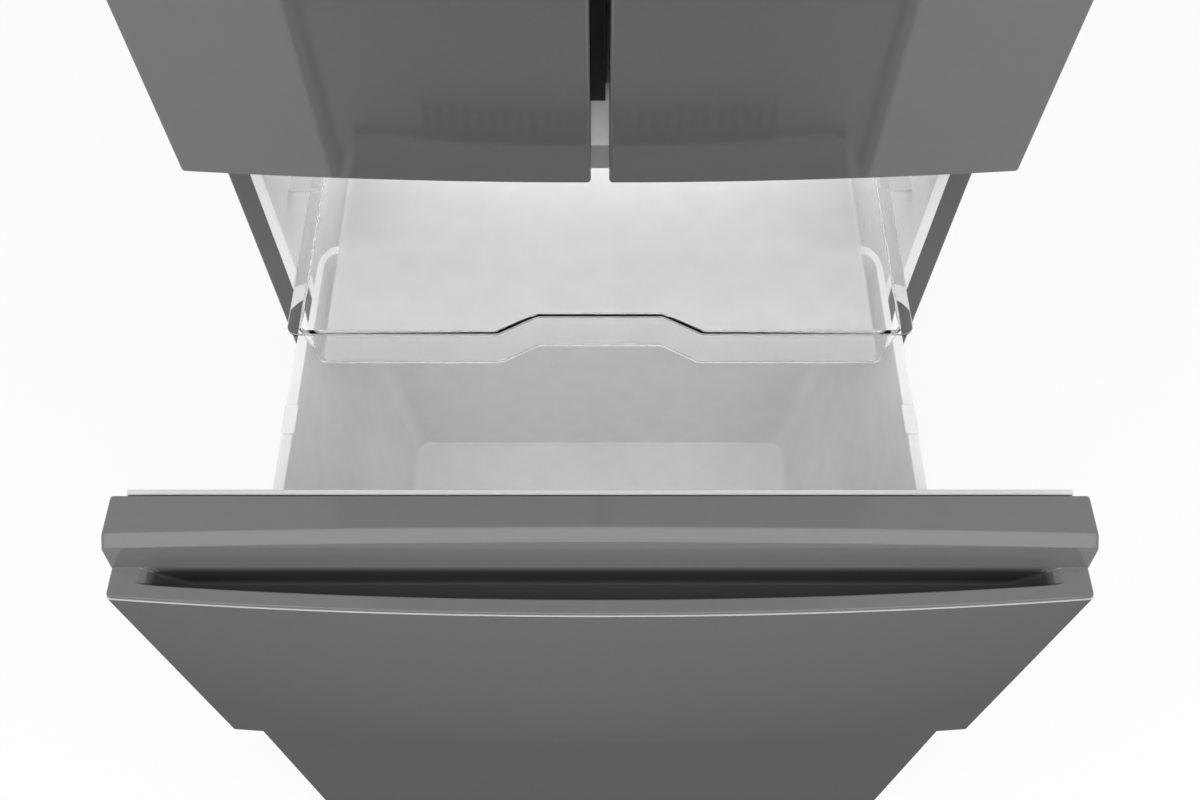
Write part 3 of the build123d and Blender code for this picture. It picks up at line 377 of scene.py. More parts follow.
frontPaint = {  # doors and drawer front, but for the strength of their mirror images
    "dark": grey(0.094), "light": grey(0.100), "rough": (0.34, 0.40),
    "grain": (180.0, 1800.0, 0.2), "bump": 0.012, "patch": 2.0,
}
finishes = {
    "doorPaint": {
        **frontPaint, "gloss": (1.0, 0.5),
        "sockets": {"Coat Roughness": 0.05, "Coat IOR": 1.7, "Specular IOR Level": 0.0},
    },
    "drawerPaint": {
        **frontPaint, "gloss": (1.0, 0.02),
        "sockets": {"Coat Roughness": 0.05, "Coat IOR": 1.55, "Specular IOR Level": 0.0},
    },
    "mouldingPaint": {
        "dark": grey(0.126), "light": grey(0.134), "rough": (0.34, 0.40),
        "grain": (120.0, 1600.0, 0.3), "bump": 0.015, "patch": 3.0, "gloss": (1.0, 0.5),
        "sockets": {"Coat Roughness": 0.06, "Coat IOR": 1.4, "Specular IOR Level": 0.0},
    },
    "pocketPlasticPaintedShade": {
        "dark": grey(0.118), "light": grey(0.126), "rough": (0.34, 0.45),
        "grain": (120.0, 1500.0, 0.4), "bump": 0.03,
        # painted shade: the pocket's faces darken towards its bottom
        "recessShade": {"from": drawerTop - 29.5 * mm, "to": drawerTop - 36 * mm,
                 "colour": grey(0.035)},
        "sockets": {"Specular IOR Level": 0.08},
    },
    "cabinetPaint": {
        "dark": grey(0.072), "light": grey(0.088), "rough": (0.32, 0.42),
        "grain": (500.0, 1500.0, 0.5), "bump": 0.16, "patch": 2.0,
    },
    "railPaint": {
        "dark": grey(0.32), "light": grey(0.35), "rough": (0.3, 0.4),
        "grain": (300.0, 1500.0, 0.4), "bump": 0.05,
    },
    "backSteel": {
        "dark": grey(0.50), "light": grey(0.60), "rough": (0.34, 0.5), "spangle": 170.0,
        "grain": (200.0, 1500.0, 0.4), "bump": 0.08, "sockets": {"Metallic": 0.9},
    },
    "zincSteel": {
        "dark": grey(0.45), "light": grey(0.6), "rough": (0.28, 0.42), "spangle": 260.0,
        "grain": (300.0, 1800.0, 0.5), "bump": 0.05, "sockets": {"Metallic": 1.0},
    },
    "aluminium": {
        "dark": grey(0.62), "light": grey(0.72), "rough": (0.3, 0.42),
        "grain": (400.0, 2200.0, 0.5), "bump": 0.05, "sockets": {"Metallic": 1.0},
    },
    "blackEnamel": {
        "dark": grey(0.01), "light": grey(0.016), "rough": (0.2, 0.32),
        "grain": (180.0, 1500.0, 0.3), "bump": 0.08,
    },
    "blackPlastic": {
        "dark": grey(0.012), "light": grey(0.02), "rough": (0.32, 0.45),
        "grain": (500.0, 2000.0, 0.7), "bump": 0.12,
    },
    "linerWhite": {
        "dark": grey(0.80), "light": grey(0.85), "rough": (0.26, 0.36),
        "grain": (60.0, 1200.0, 0.3), "bump": 0.02,
        "sockets": {"Coat Weight": 0.2, "Coat Roughness": 0.2},
    },
    "whitePlastic": {
        "dark": grey(0.74), "light": grey(0.80), "rough": (0.3, 0.42),
        "grain": (90.0, 1400.0, 0.5), "bump": 0.05,
    },
    "basketPlastic": {
        "dark": grey(0.76), "light": grey(0.84), "rough": (0.3, 0.42),
        "grain": (40.0, 1400.0, 0.4), "bump": 0.05,
        "sockets": {"Subsurface Weight": 0.25, "Subsurface Scale": 0.01,
                    "Subsurface Radius": (1.0, 1.0, 1.0)},
    },
    "trayPlastic": {
        "dark": grey(0.94), "light": grey(0.98), "rough": (0.01, 0.05),
        "grain": (26.0, 800.0, 0.1), "bump": 0.05, "clear": 0.9,
        "sockets": {"Transmission Weight": 1.0, "IOR": 1.33},
    },
    "trayFloor": {
        "dark": grey(0.68), "light": grey(0.78), "rough": (0.40, 0.55),
        "grain": (34.0, 900.0, 0.2), "bump": 0.4, "clear": 0.7,
        "sockets": {"Transmission Weight": 0.5, "IOR": 1.3},
    },
    "clearPlastic": {
        "dark": grey(0.90), "light": grey(0.95), "rough": (0.03, 0.08),
        "grain": (30.0, 900.0, 0.2), "bump": 0.05, "clear": 0.85,
        "sockets": {"Transmission Weight": 1.0, "IOR": 1.49},
    },
    "frostedPlastic": {
        "dark": grey(0.84), "light": grey(0.90), "rough": (0.28, 0.4),
        "grain": (200.0, 1500.0, 0.5), "bump": 0.08, "clear": 0.7,
        "sockets": {"Transmission Weight": 0.85, "IOR": 1.45},
    },
    "shelfGlass": {
        "dark": (0.86, 0.90, 0.88), "light": (0.90, 0.94, 0.92), "rough": (0.0, 0.02),
        "grain": (20.0, 600.0, 0.1), "bump": 0.01, "clear": 0.85,
        "sockets": {"Transmission Weight": 1.0, "IOR": 1.5},
    },
    # dark grey of the basket comb: painted shade
    "combShadeGrey": {
        "dark": grey(0.05), "light": grey(0.07), "rough": (0.35, 0.5),
        "grain": (300.0, 1600.0, 0.5), "bump": 0.1,
    },
    "cutEdge": {
        "dark": grey(0.44), "light": grey(0.52), "rough": (0.25, 0.35),
        "grain": (400.0, 2000.0, 0.5), "bump": 0.03,
    },
    "sealRubber": {
        "dark": grey(0.64), "light": grey(0.70), "rough": (0.45, 0.6),
        "grain": (200.0, 1500.0, 0.5), "bump": 0.1,
    },
    # dark rubber of the feet and rollers, and painted shade in the groove of the gaskets
    "greyRubberAndGrooveShade": {
        "dark": grey(0.10), "light": grey(0.13), "rough": (0.5, 0.65),
        "grain": (300.0, 1500.0, 0.6), "bump": 0.2,
    },
    "foam": {
        "dark": (0.72, 0.62, 0.40), "light": (0.80, 0.71, 0.50), "rough": (0.7, 0.85),
        "grain": (300.0, 1200.0, 0.6), "bump": 0.5,
    },
}
materials = {name: finish(name, spec) for name, spec in finishes.items()}
slotFinish = {
    "cabinet_steel": "cabinetPaint", "back_steel": "backSteel", "door_steel": "doorPaint",
    "handle_plastic": "mouldingPaint", "black_plastic": "blackPlastic",
    "grey_rubber": "sealRubber", "white_liner": "linerWhite", "white_plastic": "whitePlastic",
    "clear_plastic": "clearPlastic", "frosted_plastic": "frostedPlastic",
    "shelf_glass": "shelfGlass", "foam": "foam", "zinc_steel": "zincSteel",
    "aluminium": "aluminium", "black_enamel": "blackEnamel",
}
nodeFinish = {
    "front_rail": "railPaint", "freezer_basket": "basketPlastic", "freezer_tray": "trayPlastic",
    "foot_left": "greyRubberAndGrooveShade", "foot_right": "greyRubberAndGrooveShade",
    "roller_left": "greyRubberAndGrooveShade", "roller_right": "greyRubberAndGrooveShade",
}


def finishOf(node, slotName):
    # a finish of the node's own, or else that of its slot
    return materials[nodeFinish.get(node) or slotFinish.get(slotName, "whitePlastic")]


def paintFrame():
    nodeSlots = {n["name"]: n.get("material") for n in frame["record"].get("nodes", [])}
    for name, node in frame["nodes"].items():
        oldNames = [s.material.name.split(".")[0] for s in node.material_slots if s.material]
        slotName = nodeSlots.get(name) or (oldNames[0] if oldNames else "white_plastic")
        for slot in node.material_slots:
            slot.material = finishOf(name, slotName)


paintFrame()
print("stage: materials made")

# camera, floor and light

cameraPlan = {"ahead": 746 * mm, "height": 1.570, "pitch": 58.65, "lens": 34.68, "sensor": 36}


def makeCamera(plan):
    data = bpy.data.cameras.new("camera")
    data.lens = plan["lens"]
    data.sensor_width = plan["sensor"]
    data.sensor_fit = "HORIZONTAL"
    data.clip_start = 0.01
    camera = bpy.data.objects.new("camera", data)
    camera.location = (0, frontY - plan["ahead"], plan["height"])
    camera.rotation_euler = (math.radians(90 - plan["pitch"]), 0, 0)
    bpy.context.scene.collection.objects.link(camera)
    bpy.context.scene.camera = camera


makeCamera(cameraPlan)

floorPlan = {"half": 30.0, "white": 0.82, "cloud": 0.01, "glow": 0.86, "fadeFrom": 3.0,
             "fadeTo": 7.0}


def seenBackground(tree):
    # 1 for what the camera, a mirror or a glass looks at, 0 for light that bounces
    path = addNode(tree, "ShaderNodeLightPath")
    mirror = addNode(tree, "ShaderNodeMath", operation="MAXIMUM")
    glass = addNode(tree, "ShaderNodeMath", operation="MAXIMUM")
    wire(tree, (path, "Is Camera Ray", mirror, 0), (path, "Is Glossy Ray", mirror, 1),
         (mirror, "Value", glass, 0), (path, "Is Transmission Ray", glass, 1))
    return glass.outputs["Value"]


def makeFloor(plan):
    h = plan["half"]
    floor = meshObject("floor", [(-h, -h, 0), (h, -h, 0), (h, h, 0), (-h, h, 0)], [(0, 1, 2, 3)],
                       turnOut=False)
    material = bpy.data.materials.new("paleFloor")
    material.use_nodes = True
    tree = material.node_tree
    shader = tree.nodes["Principled BSDF"]
    shader.inputs["Roughness"].default_value = 0.8
    place = addNode(tree, "ShaderNodeTexCoord")
    cloud = addNode(tree, "ShaderNodeTexNoise", {"Scale": 1.5, "Detail": 3.0})
    tint = addNode(tree, "ShaderNodeMapRange", {
        "To Min": plan["white"] - plan["cloud"], "To Max": plan["white"] + plan["cloud"]})
    white = addNode(tree, "ShaderNodeEmission", {"Color": (1, 1, 1, 1), "Strength": 1.0})
    reach = addNode(tree, "ShaderNodeVectorMath", operation="LENGTH")
    glow = addNode(tree, "ShaderNodeMapRange", {
        "From Min": plan["fadeFrom"], "From Max": plan["fadeTo"], "To Min": plan["glow"],
        "To Max": 1.0})
    share = addNode(tree, "ShaderNodeMath", operation="MULTIPLY")
    blend = addNode(tree, "ShaderNodeMixShader")
    tree.links.new(seenBackground(tree), share.inputs[0])
    wire(tree, (place, "Object", cloud, "Vector"), (cloud, "Fac", tint, "Value"),
         (tint, "Result", shader, "Base Color"), (place, "Object", reach, 0),
         (reach, "Value", glow, "Value"), (glow, "Result", share, 1),
         (share, "Value", blend, "Fac"), (shader, "BSDF", blend, 1), (white, "Emission", blend, 2),
         (blend, "Shader", tree.nodes["Material Output"], "Surface"))
    floor.data.materials.append(material)


worldLevel = 0.5  # light from all round; what is seen of the world is white


def makeWorld(level):
    world = bpy.data.worlds.new("studio")
    bpy.context.scene.world = world
    world.use_nodes = True
    tree = world.node_tree
    sky = tree.nodes["Background"]
    sky.inputs["Color"].default_value = (1, 1, 1, 1)
    strength = addNode(tree, "ShaderNodeMapRange", {"To Min": level, "To Max": 1.0})
    tree.links.new(seenBackground(tree), strength.inputs["Value"])
    wire(tree, (strength, "Result", sky, "Strength"))


lamps = {
    "overheadLamp": {"at": (0.0, -2.2, 3.81), "to": (0, -2.2, 0), "size": (4.2, 3.6),
                     "watts": 120},
    "frontLamp": {"at": (0.0, -4.2, 2.11), "to": (0, 0, 0.91), "size": (3.0, 2.0), "watts": 20},
    "leftLamp": {"at": (-3.0, -1.6, 2.51), "to": (0, -0.3, 0.91), "size": (1.2, 2.4),
                 "watts": 24},
    "rightLamp": {"at": (3.0, -1.6, 2.51), "to": (0, -0.3, 0.91), "size": (1.2, 2.4),
                  "watts": 24},
    "rearLamp": {"at": (0.0, 3.6, 2.71), "to": (0, 0.5, 1.01), "size": (2.6, 1.6), "watts": 40},
    "freezerLamp": {"at": (0.0, 0.20, 0.748), "to": (0, 0.14, 0.31), "size": (0.56, 0.26),
                    "watts": 1.6},  # under the ceiling of the freezer compartment
}
mirroredLamps = {"overheadLamp"}  # the others only give light


def makeLamps(plans):
    for name, plan in plans.items():
        data = bpy.data.lights.new(name, "AREA")
        data.shape = "RECTANGLE"
        data.size, data.size_y = plan["size"]
        data.energy = plan["watts"]
        lamp = bpy.data.objects.new(name, data)
        lamp.location = plan["at"]
        aim = Vector(plan["to"]) - Vector(plan["at"])
        lamp.rotation_euler = aim.to_track_quat("-Z", "Y").to_euler()
        lamp.visible_glossy = name in mirroredLamps
        bpy.context.scene.collection.objects.link(lamp)


makeFloor(floorPlan)
makeWorld(worldLevel)
makeLamps(lamps)
bpy.context.scene.view_settings.view_transform = "Standard"
print("stage: studio made")

# bowed sheets: doors and drawer front

bowedSheet = {"corner": 3.5 * mm, "leastCorner": 1 * mm, "fold": 3 * mm, "bowSteps": 28,
              "edgeBand": 1 * mm, "sharp": 40}


def sheetPlan(x1, x2, edge, rear, inset, sideStops=()):
    # open path from the rear at x1 round the bowed front to the rear at x2
    x1, x2, edge = x1 + inset, x2 - inset, edge + inset
    steps = bowedSheet["bowSteps"]
    stopsLeft = [(x1, y) for y in sideStops if y > edge]
    front = []
    for k in range(steps + 1):
        x = x1 + (x2 - x1) * k / steps
        front.append((x, bowAt(x, edge)))
    corners = [(x1, rear)] + stopsLeft + front + [(x2, y) for x, y in reversed(stopsLeft)]
    corners.append((x2, rear))
    radii = [0] * len(corners)
    radius = max(bowedSheet["corner"] - inset, bowedSheet["leastCorner"])
    radii[1 + len(stopsLeft)] = radii[1 + len(stopsLeft) + steps] = radius
    return roundedPath(corners, radii)


def makeBowedSheet(name, x1, x2, edge, rear, z1, z2, openTop=False, levels=(), sideStops=()):
    # levels and sideStops give the mesh edges where a hole is to be cut
    fold = edgeRows(bowedSheet["fold"])
    rows = [(inset, z1 + rise) for inset, rise in fold]
    rows += [(0, z) for z in levels]
    rows += [(0, z2)] if openTop else [(inset, z2 - rise) for inset, rise in reversed(fold)]
    loops = []
    for inset, z in rows:
        path = sheetPlan(x1, x2, edge, rear, inset, sideStops)
        loops.append([(p.x, p.y, z) for p in path])
    return meshObject(name, *loft(loops, capEnd=not openTop, closedLoops=False))


def cutGripHole(thing, low, high, freeX):
    # opens the meeting edge of a door for its finger grip
    work = bmesh.new()
    work.from_mesh(thing.data)
    doomed = []
    for face in work.faces:
        c = face.calc_center_median()
        inside = low.y < c.y < high.y and low.z < c.z < high.z
        if inside and abs(c.x - freeX) < bowedSheet["edgeBand"]:
            doomed.append(face)
    bmesh.ops.delete(work, geom=doomed, context="FACES")
    work.to_mesh(thing.data)
    work.free()


for side, sign in sideSigns.items():
    low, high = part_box(f"door_skin_{side}")
    gripLow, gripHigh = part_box(f"door_grip_{side}")
    sheet = makeBowedSheet(
        f"doorSheet_{side}", low.x, high.x, doorBack - panelDepth, doorBack, low.z, high.z,
        levels=(gripLow.z, gripHigh.z), sideStops=(gripHigh.y, gripLow.y))
    freeEdge = low.x if sign > 0 else high.x
    cutGripHole(sheet, gripLow, gripHigh, freeEdge)
    giveWall(sheet, sheetDepth)
    finishPiece(sheet, f"door_{side}", materials["doorPaint"],
                [f"door_skin_{side}"], bowedSheet["sharp"])

skinLow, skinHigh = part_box("drawer_skin")
lowerLow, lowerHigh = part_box("drawer_lower_panel")
drawerEdge = drawerBack - panelDepth
drawerSheets = {"setback": 24.5 * mm,  # of the lower sheet behind the upper one
                "topGap": 0.1 * mm, "cutBand": 0.3 * mm}


def makeDrawerSheet(name, node, edge, z1, z2):
    sheet = makeBowedSheet(name, -halfWidth, halfWidth, edge, drawerBack, z1, z2, openTop=True)
    giveWall(sheet, sheetDepth)
    return finishPiece(sheet, "drawer", materials["drawerPaint"], [node],
                       bowedSheet["sharp"])


upperSheet = makeDrawerSheet("drawerUpperSheet", "drawer_skin", drawerEdge, skinLow.z,
                             skinHigh.z - drawerSheets["topGap"])
upperSheet.data.materials.append(materials["cutEdge"])
for face in upperSheet.data.polygons:
    if face.center.z > skinHigh.z - drawerSheets["cutBand"] and face.normal.z > 0.9:
        face.material_index = 1  # the cut top edge of the sheet is bare
makeDrawerSheet("drawerLowerSheet", "drawer_lower_panel", drawerEdge + drawerSheets["setback"],
                lowerLow.z, lowerHigh.z)
print("stage: door and drawer sheets made")

# drawer top moulding: plateau, crest, slope, finger pocket and lip

moulding = {
    "plateau": 36 * mm, "rearEdge": 1.2 * mm, "crestDrop": 29 * mm, "crestRun": 7 * mm,
    "crestRecess": 6 * mm, "crestReach": 40 * mm,  # the crest curves back between the ends
    "facetBack": 4.3 * mm, "facetAhead": 3.7 * mm, "facetDrop": 5.8 * mm, "facetSoft": 7 * mm,
    "facetCrisp": 0.8 * mm, "footSoft": 0.4 * mm, "lip": 12 * mm, "lipEdge": 1 * mm,
    "lipLeastEdge": 0.6 * mm, "lipRecess": 1.1 * mm, "rim": 1.2 * mm,
    "pocketDepth": 24 * mm, "pocketEnd": 21 * mm, "pocketBackSlope": 1 * mm,
    "pocketFrontSlope": 1.5 * mm, "pocketRound": 3 * mm, "pocketLeast": 0.02 * mm,
    "scoop": 34 * mm,  # length over which the pocket deepens at each end
    "tubWall": 1.8 * mm, "tubBehind": 4 * mm, "endEdge": 2.5 * mm, "stations": 120,
}
# faces of the pocket that take the material with the painted shade
pocketFaces = {"underLedge": 3.5 * mm, "underSheet": 1 * mm, "fromFront": 4 * mm,
               "fromBack": 20 * mm}


def mouldingSection(x, plan, inset=0.0):
    # outline in Y and Z at x, from the rear bottom over the top to the front bottom
    depthFromSide = halfWidth - abs(x)
    crest = drawerBack - plan["plateau"]
    foot = crest - plan["crestRun"]
    crest += plan["crestRecess"] * (1 - (x / (halfWidth + plan["crestReach"])) ** 2)
    ledge = drawerTop - plan["crestDrop"]
    front = bowAt(x, drawerEdge) + plan["lipRecess"]
    corner = bowedSheet["corner"]
    if depthFromSide < corner:
        front += corner - math.sqrt(corner ** 2 - (corner - depthFromSide) ** 2)
    pocketFront = bowAt(x, drawerEdge + plan["lip"])
    fromPocketEnd = halfWidth - plan["pocketEnd"] - abs(x)
    share = min(max(fromPocketEnd / plan["scoop"], 0), 1)
    depth = plan["pocketDepth"] * share ** 1.5 * (2.5 - 1.5 * share) + plan["pocketLeast"]
    bottom = skinHigh.z
    tub = bottom - (bottom - handleLow.z) * min(share * 4, 1)
    tubBack = foot + plan["tubBehind"]
    corners = [
        (tubBack, tub),
        (tubBack, bottom),
        (drawerBack - inset, bottom),
        (drawerBack - inset, drawerTop - inset),
        (crest + plan["facetBack"], drawerTop - inset),
        (crest - plan["facetAhead"], drawerTop - plan["facetDrop"] - inset),
        (foot, ledge - inset),
        (foot - plan["pocketBackSlope"], ledge - inset - depth),
        (pocketFront + plan["pocketFrontSlope"], ledge - inset - depth),
        (pocketFront, ledge - inset),
        (front + inset, ledge - inset),
        (front + inset, bottom),
        (front + plan["tubWall"], bottom),
        (front + plan["tubWall"], tub),
    ]
    rim = min(plan["rim"], depth * 0.4)
    pocketRound = min(plan["pocketRound"], depth * 0.4)
    lipEdge = max(plan["lipEdge"] - inset, plan["lipLeastEdge"])
    radii = [0, 0, 0, plan["rearEdge"], plan["facetSoft"], plan["facetCrisp"],
             plan["footSoft"] + pocketRound, pocketRound, pocketRound, rim, lipEdge, 0, 0, 0]
    return roundedPath(corners, radii, steps=7)


def makeMoulding(plan):
    half, edge = halfWidth, plan["endEdge"]
    stations = [(-half + rise, inset) for inset, rise in edgeRows(edge, 4)]
    inner = half - edge
    for k in range(1, plan["stations"]):
        # closer together towards the ends
        share = math.sin(math.pi / 2 * (2 * k / plan["stations"] - 1))
        stations.append((inner * share, 0))
    stations += [(half - rise, inset) for inset, rise in reversed(edgeRows(edge, 4))]
    loops = []
    for x, inset in stations:
        loops.append([(x, p.x, p.y) for p in mouldingSection(x, plan, inset)])
    thing = meshObject("drawerMoulding", *loft(loops))
    mesh = thing.data
    mesh.materials.append(materials["mouldingPaint"])
    mesh.materials.append(materials["pocketPlasticPaintedShade"])
    ledge = drawerTop - plan["crestDrop"]
    sunk = min(ledge - pocketFaces["underLedge"], skinHigh.z - pocketFaces["underSheet"])
    front, back = drawerEdge - bow + pocketFaces["fromFront"], drawerBack - pocketFaces["fromBack"]
    for face in mesh.polygons:
        c = face.center
        if c.z < sunk and front < c.y < back and abs(c.x) < half - plan["pocketEnd"]:
            face.material_index = 1  # the pocket, with its painted shade
    return thing


finishPiece(makeMoulding(moulding), "drawer", None, ["drawer_handle"], 34)
print("stage: drawer moulding made")

# tray: clear, with a wide rim and a grip stepped back at its middle

trayLow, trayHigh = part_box("freezer_tray")
tray = {
    "flange": 14 * mm, "rimDepth": 3 * mm, "wall": 2.5 * mm, "draft": 8 * mm, "frontRim": 5 * mm,
    "gripBack": 20 * mm, "gripFlat": 60 * mm, "gripRamp": 96 * mm, "corner": 10 * mm,
    "leastCorner": 6 * mm, "gripCorner": 14 * mm, "floorEdge": 4 * mm,
}


def trayRing(z, inset, sideInset=0.0):
    x = trayHigh.x - inset - sideInset
    y1, y2 = trayLow.y + inset, trayHigh.y - inset
    flat, ramp = tray["gripFlat"], tray["gripRamp"]
    corners = [(-x, y1), (-ramp, y1), (-flat, y1 + tray["gripBack"]),
               (flat, y1 + tray["gripBack"]), (ramp, y1), (x, y1), (x, y2), (-x, y2)]
    corner, grip = max(tray["corner"] - inset, tray["leastCorner"]), tray["gripCorner"]
    radii = [corner, grip, grip, grip, grip, corner, corner, corner]
    return [(p.x, p.y, z) for p in roundedPath(corners, radii, 7, closed=True)]


def makeTray():
    top, floor = trayHigh.z, trayLow.z
    side = tray["flange"] - tray["frontRim"]
    rimUnder = top - tray["rimDepth"]
    outer, inner = tray["frontRim"] - tray["wall"], tray["frontRim"]
    draft, edge, wall = tray["draft"], tray["floorEdge"], tray["wall"]
    loops = [
        trayRing(floor, outer + edge, side + draft),
        trayRing(floor + 0.3 * edge, outer + 0.3 * edge, side + draft),
        trayRing(floor + edge, outer, side + draft * 0.95),
        trayRing(rimUnder - 1 * mm, outer, side),
        trayRing(rimUnder, outer - 0.5 * mm, side - 0.5 * mm),
        trayRing(rimUnder, 0.6 * mm),
        trayRing(rimUnder + 0.6 * mm, 0),
        trayRing(top - 0.8 * mm, 0),
        trayRing(top - 0.2 * mm, 0.25 * mm),
        trayRing(top, 0.9 * mm),
        trayRing(top, inner - 1 * mm, side - 0.3 * mm),
        trayRing(top - 0.3 * mm, inner - 0.3 * mm, side),
        trayRing(top - 1.2 * mm, inner, side + 0.1 * mm),
        trayRing(floor + wall + edge, inner, side + draft * 0.95),
        trayRing(floor + wall + 0.3 * edge, inner + 0.3 * edge, side + draft),
        trayRing(floor + wall, inner + edge, side + draft),
    ]
    thing = meshObject("clearTray", *loft(loops))
    for name in ("trayPlastic", "trayFloor"):
        thing.data.materials.append(materials[name])
    for face in thing.data.polygons:
        if abs(face.normal.z) > 0.9 and face.center.z < floor + wall + edge:
            face.material_index = 1  # the floor is pebbled and lets only soft light through
    return thing


finishPiece(makeTray(), "tray", None, ["freezer_tray"], 40, even=False)
print("stage: tray made")

# basket: deep drafted tub with an outward rim

basketLow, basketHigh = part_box("freezer_basket")
basket = {
    "rim": 8 * mm, "rimHeight": 9 * mm, "rimWall": 2.5 * mm, "wall": 2.5 * mm,
    "sideDraft": 51.5 * mm, "endDraft": 14 * mm, "corner": 22 * mm, "floorEdge": 5 * mm,
    "lipEdge": 1.2 * mm,
}


def basketRing(z, sideIn, endIn, corner):
    x = basketHigh.x - sideIn
    y1, y2 = basketLow.y + endIn, basketHigh.y - endIn
    path = roundedPath([(-x, y1), (x, y1), (x, y2), (-x, y2)], [corner] * 4, 8, closed=True)
    return [(p.x, p.y, z) for p in path]


def makeBasket(plan):
    top, floor = basketHigh.z, basketLow.z
    wall, rim, edge, lip = plan["wall"], plan["rim"], plan["floorEdge"], plan["lipEdge"]
    rimWall, corner = plan["rimWall"], plan["corner"]
    under, inside = top - plan["rimHeight"], top - rimWall

    def wallRing(z, inward, cornerCut=0.0):
        # the drafted wall at height z, moved inward by its thickness or a rounding
        share = (top - z) / (top - floor)
        return basketRing(z, rim + plan["sideDraft"] * share + inward,
                          rim + plan["endDraft"] * share + inward, corner - cornerCut)

    loops = [
        wallRing(floor, edge, 3 * mm),
        wallRing(floor + 0.3 * edge, 0.3 * edge, 1 * mm),
        wallRing(floor + edge, 0),
        wallRing(inside - 1 * mm, 0),
        basketRing(inside, rim - 1 * mm, rim - 1 * mm, corner),
        basketRing(inside, rimWall + 1 * mm, rimWall + 1 * mm, corner + rim - rimWall),
        basketRing(inside - 1 * mm, rimWall, rimWall, corner + rim - rimWall),
        basketRing(under, rimWall, rimWall, corner + rim - rimWall),
        basketRing(under, 0.4 * mm, 0.4 * mm, corner + rim),
        basketRing(under + 0.4 * mm, 0, 0, corner + rim),
        basketRing(top - lip, 0, 0, corner + rim),
        basketRing(top - 0.3 * lip, 0.3 * lip, 0.3 * lip, corner + rim),
        basketRing(top, lip, lip, corner + rim),
        wallRing(top, wall - lip, 0),
        wallRing(top - 0.3 * lip, wall - 0.3 * lip, wall * 0.5),
        wallRing(top - lip, wall, wall),
        wallRing(floor + wall + edge, wall, wall),
        wallRing(floor + wall + 0.3 * edge, wall + 0.3 * edge, wall),
        wallRing(floor + wall, wall + edge, wall + 2 * mm),
    ]
    return meshObject("freezerBasket", *loft(loops))


finishPiece(makeBasket(basket), "drawer", materials["basketPlastic"],
            ["freezer_basket"], 40)
print("stage: basket made")

# pieces made of a node's own mesh, with its edges eased


easing = {"weld": 2e-6, "flat": 1, "angle": 40, "segments": 2, "sharp": 38}  # angles in degrees
easedPieces = {  # by body: a node or a pair of nodes, its slot, and the width of its edges in mm
    "cabinet": [
        ("divider_cover", "white_plastic", 0.4), ("front_rail", "cabinet_steel", 0.4),
        ("freezer_liner", "white_liner", 0.5), ("fridge_liner", "white_liner", 0.5),
        ("glass_shelves", "shelf_glass", 0.8), ("air_duct", "white_plastic", 0.8),
        ("control_panel", "white_plastic", 1.0), ("evaporator_cover", "white_plastic", 0.6),
        ("base_frame", "back_steel", 0.4), ("power_inlet", "black_plastic", 0.6),
        ("slide_rail", "zinc_steel", 0.4), ("middle_hinge", "zinc_steel", 0.6),
        ("upper_hinge", "zinc_steel", 0.6),
    ],
    **{f"door_{side}": [
        (f"door_inner_{side}", "white_liner", 2.0), (f"door_bins_{side}", "clear_plastic", 0.8),
        (f"door_grip_{side}", "black_plastic", 0.5),
    ] for side in sideSigns},
    "flap": [("mullion_flap", "black_plastic", 0.8)],
    "drawer": [("drawer_inner", "white_liner", 1.0), ("basket_carrier", "white_plastic", 0.4),
               ("slide_inner", "zinc_steel", 0.4)],
    "slide_members": [("slide_mid", "zinc_steel", 0.4)],
    **{f"crisper_{side}": [(f"crisper_{side}", "clear_plastic", 0.8)] for side in sideSigns},
    **{f"roller_{side}": [(f"roller_{side}", "black_plastic", 1.2)] for side in sideSigns},
    "fan": [("freezer_fan", "black_plastic", 0.4)],
}


def softened(node, width, body, slotName):
    thing = bpy.data.objects.new(f"{node}_eased", frame["nodes"][node].data.copy())
    bpy.context.scene.collection.objects.link(thing)
    work = bmesh.new()
    work.from_mesh(thing.data)
    bmesh.ops.remove_doubles(work, verts=work.verts, dist=easing["weld"])
    bmesh.ops.dissolve_limit(work, angle_limit=math.radians(easing["flat"]), verts=work.verts,
                             edges=work.edges)
    work.to_mesh(thing.data)
    work.free()
    ease = thing.modifiers.new("ease", "BEVEL")
    ease.width = width
    ease.segments = easing["segments"]
    ease.limit_method = "ANGLE"
    ease.angle_limit = math.radians(easing["angle"])
    bakeModifiers(thing)
    finishPiece(thing, body, finishOf(node, slotName), [node], easing["sharp"])


for body, held in easedPieces.items():
    for part, slotName, width in held:
        pair = [f"{part}_{side}" for side in sideSigns]
        for node in [part] if part in frame["nodes"] else pair:
            softened(node, width * mm, body, slotName)
print("stage: edges eased")

# gaskets: flange, bellows groove and magnet section round a rectangle

gasketSection = [  # inset from the outer edge and height over the inner panel, in mm
    (0.0, 0.0), (0.0, 2.6), (0.8, 3.6), (3.4, 4.0), (3.6, 6.2), (0.8, 6.7), (0.1, 7.4), (0.1, 10.4),
    (0.7, 11.0), (12.0, 11.0), (13.0, 10.2), (13.0, 7.0), (12.0, 6.0), (10.8, 5.4), (11.0, 3.8),
    (14.0, 3.4), (17.4, 2.8), (18.0, 0.0),
]
gasketPlan = {"bellows": (3.7, 6.6),  # heights in mm between which the gasket is dark, painted shade in its bellows groove
              "corner": 1.2 * mm, "leastCorner": 0.4 * mm, "sharp": 45}


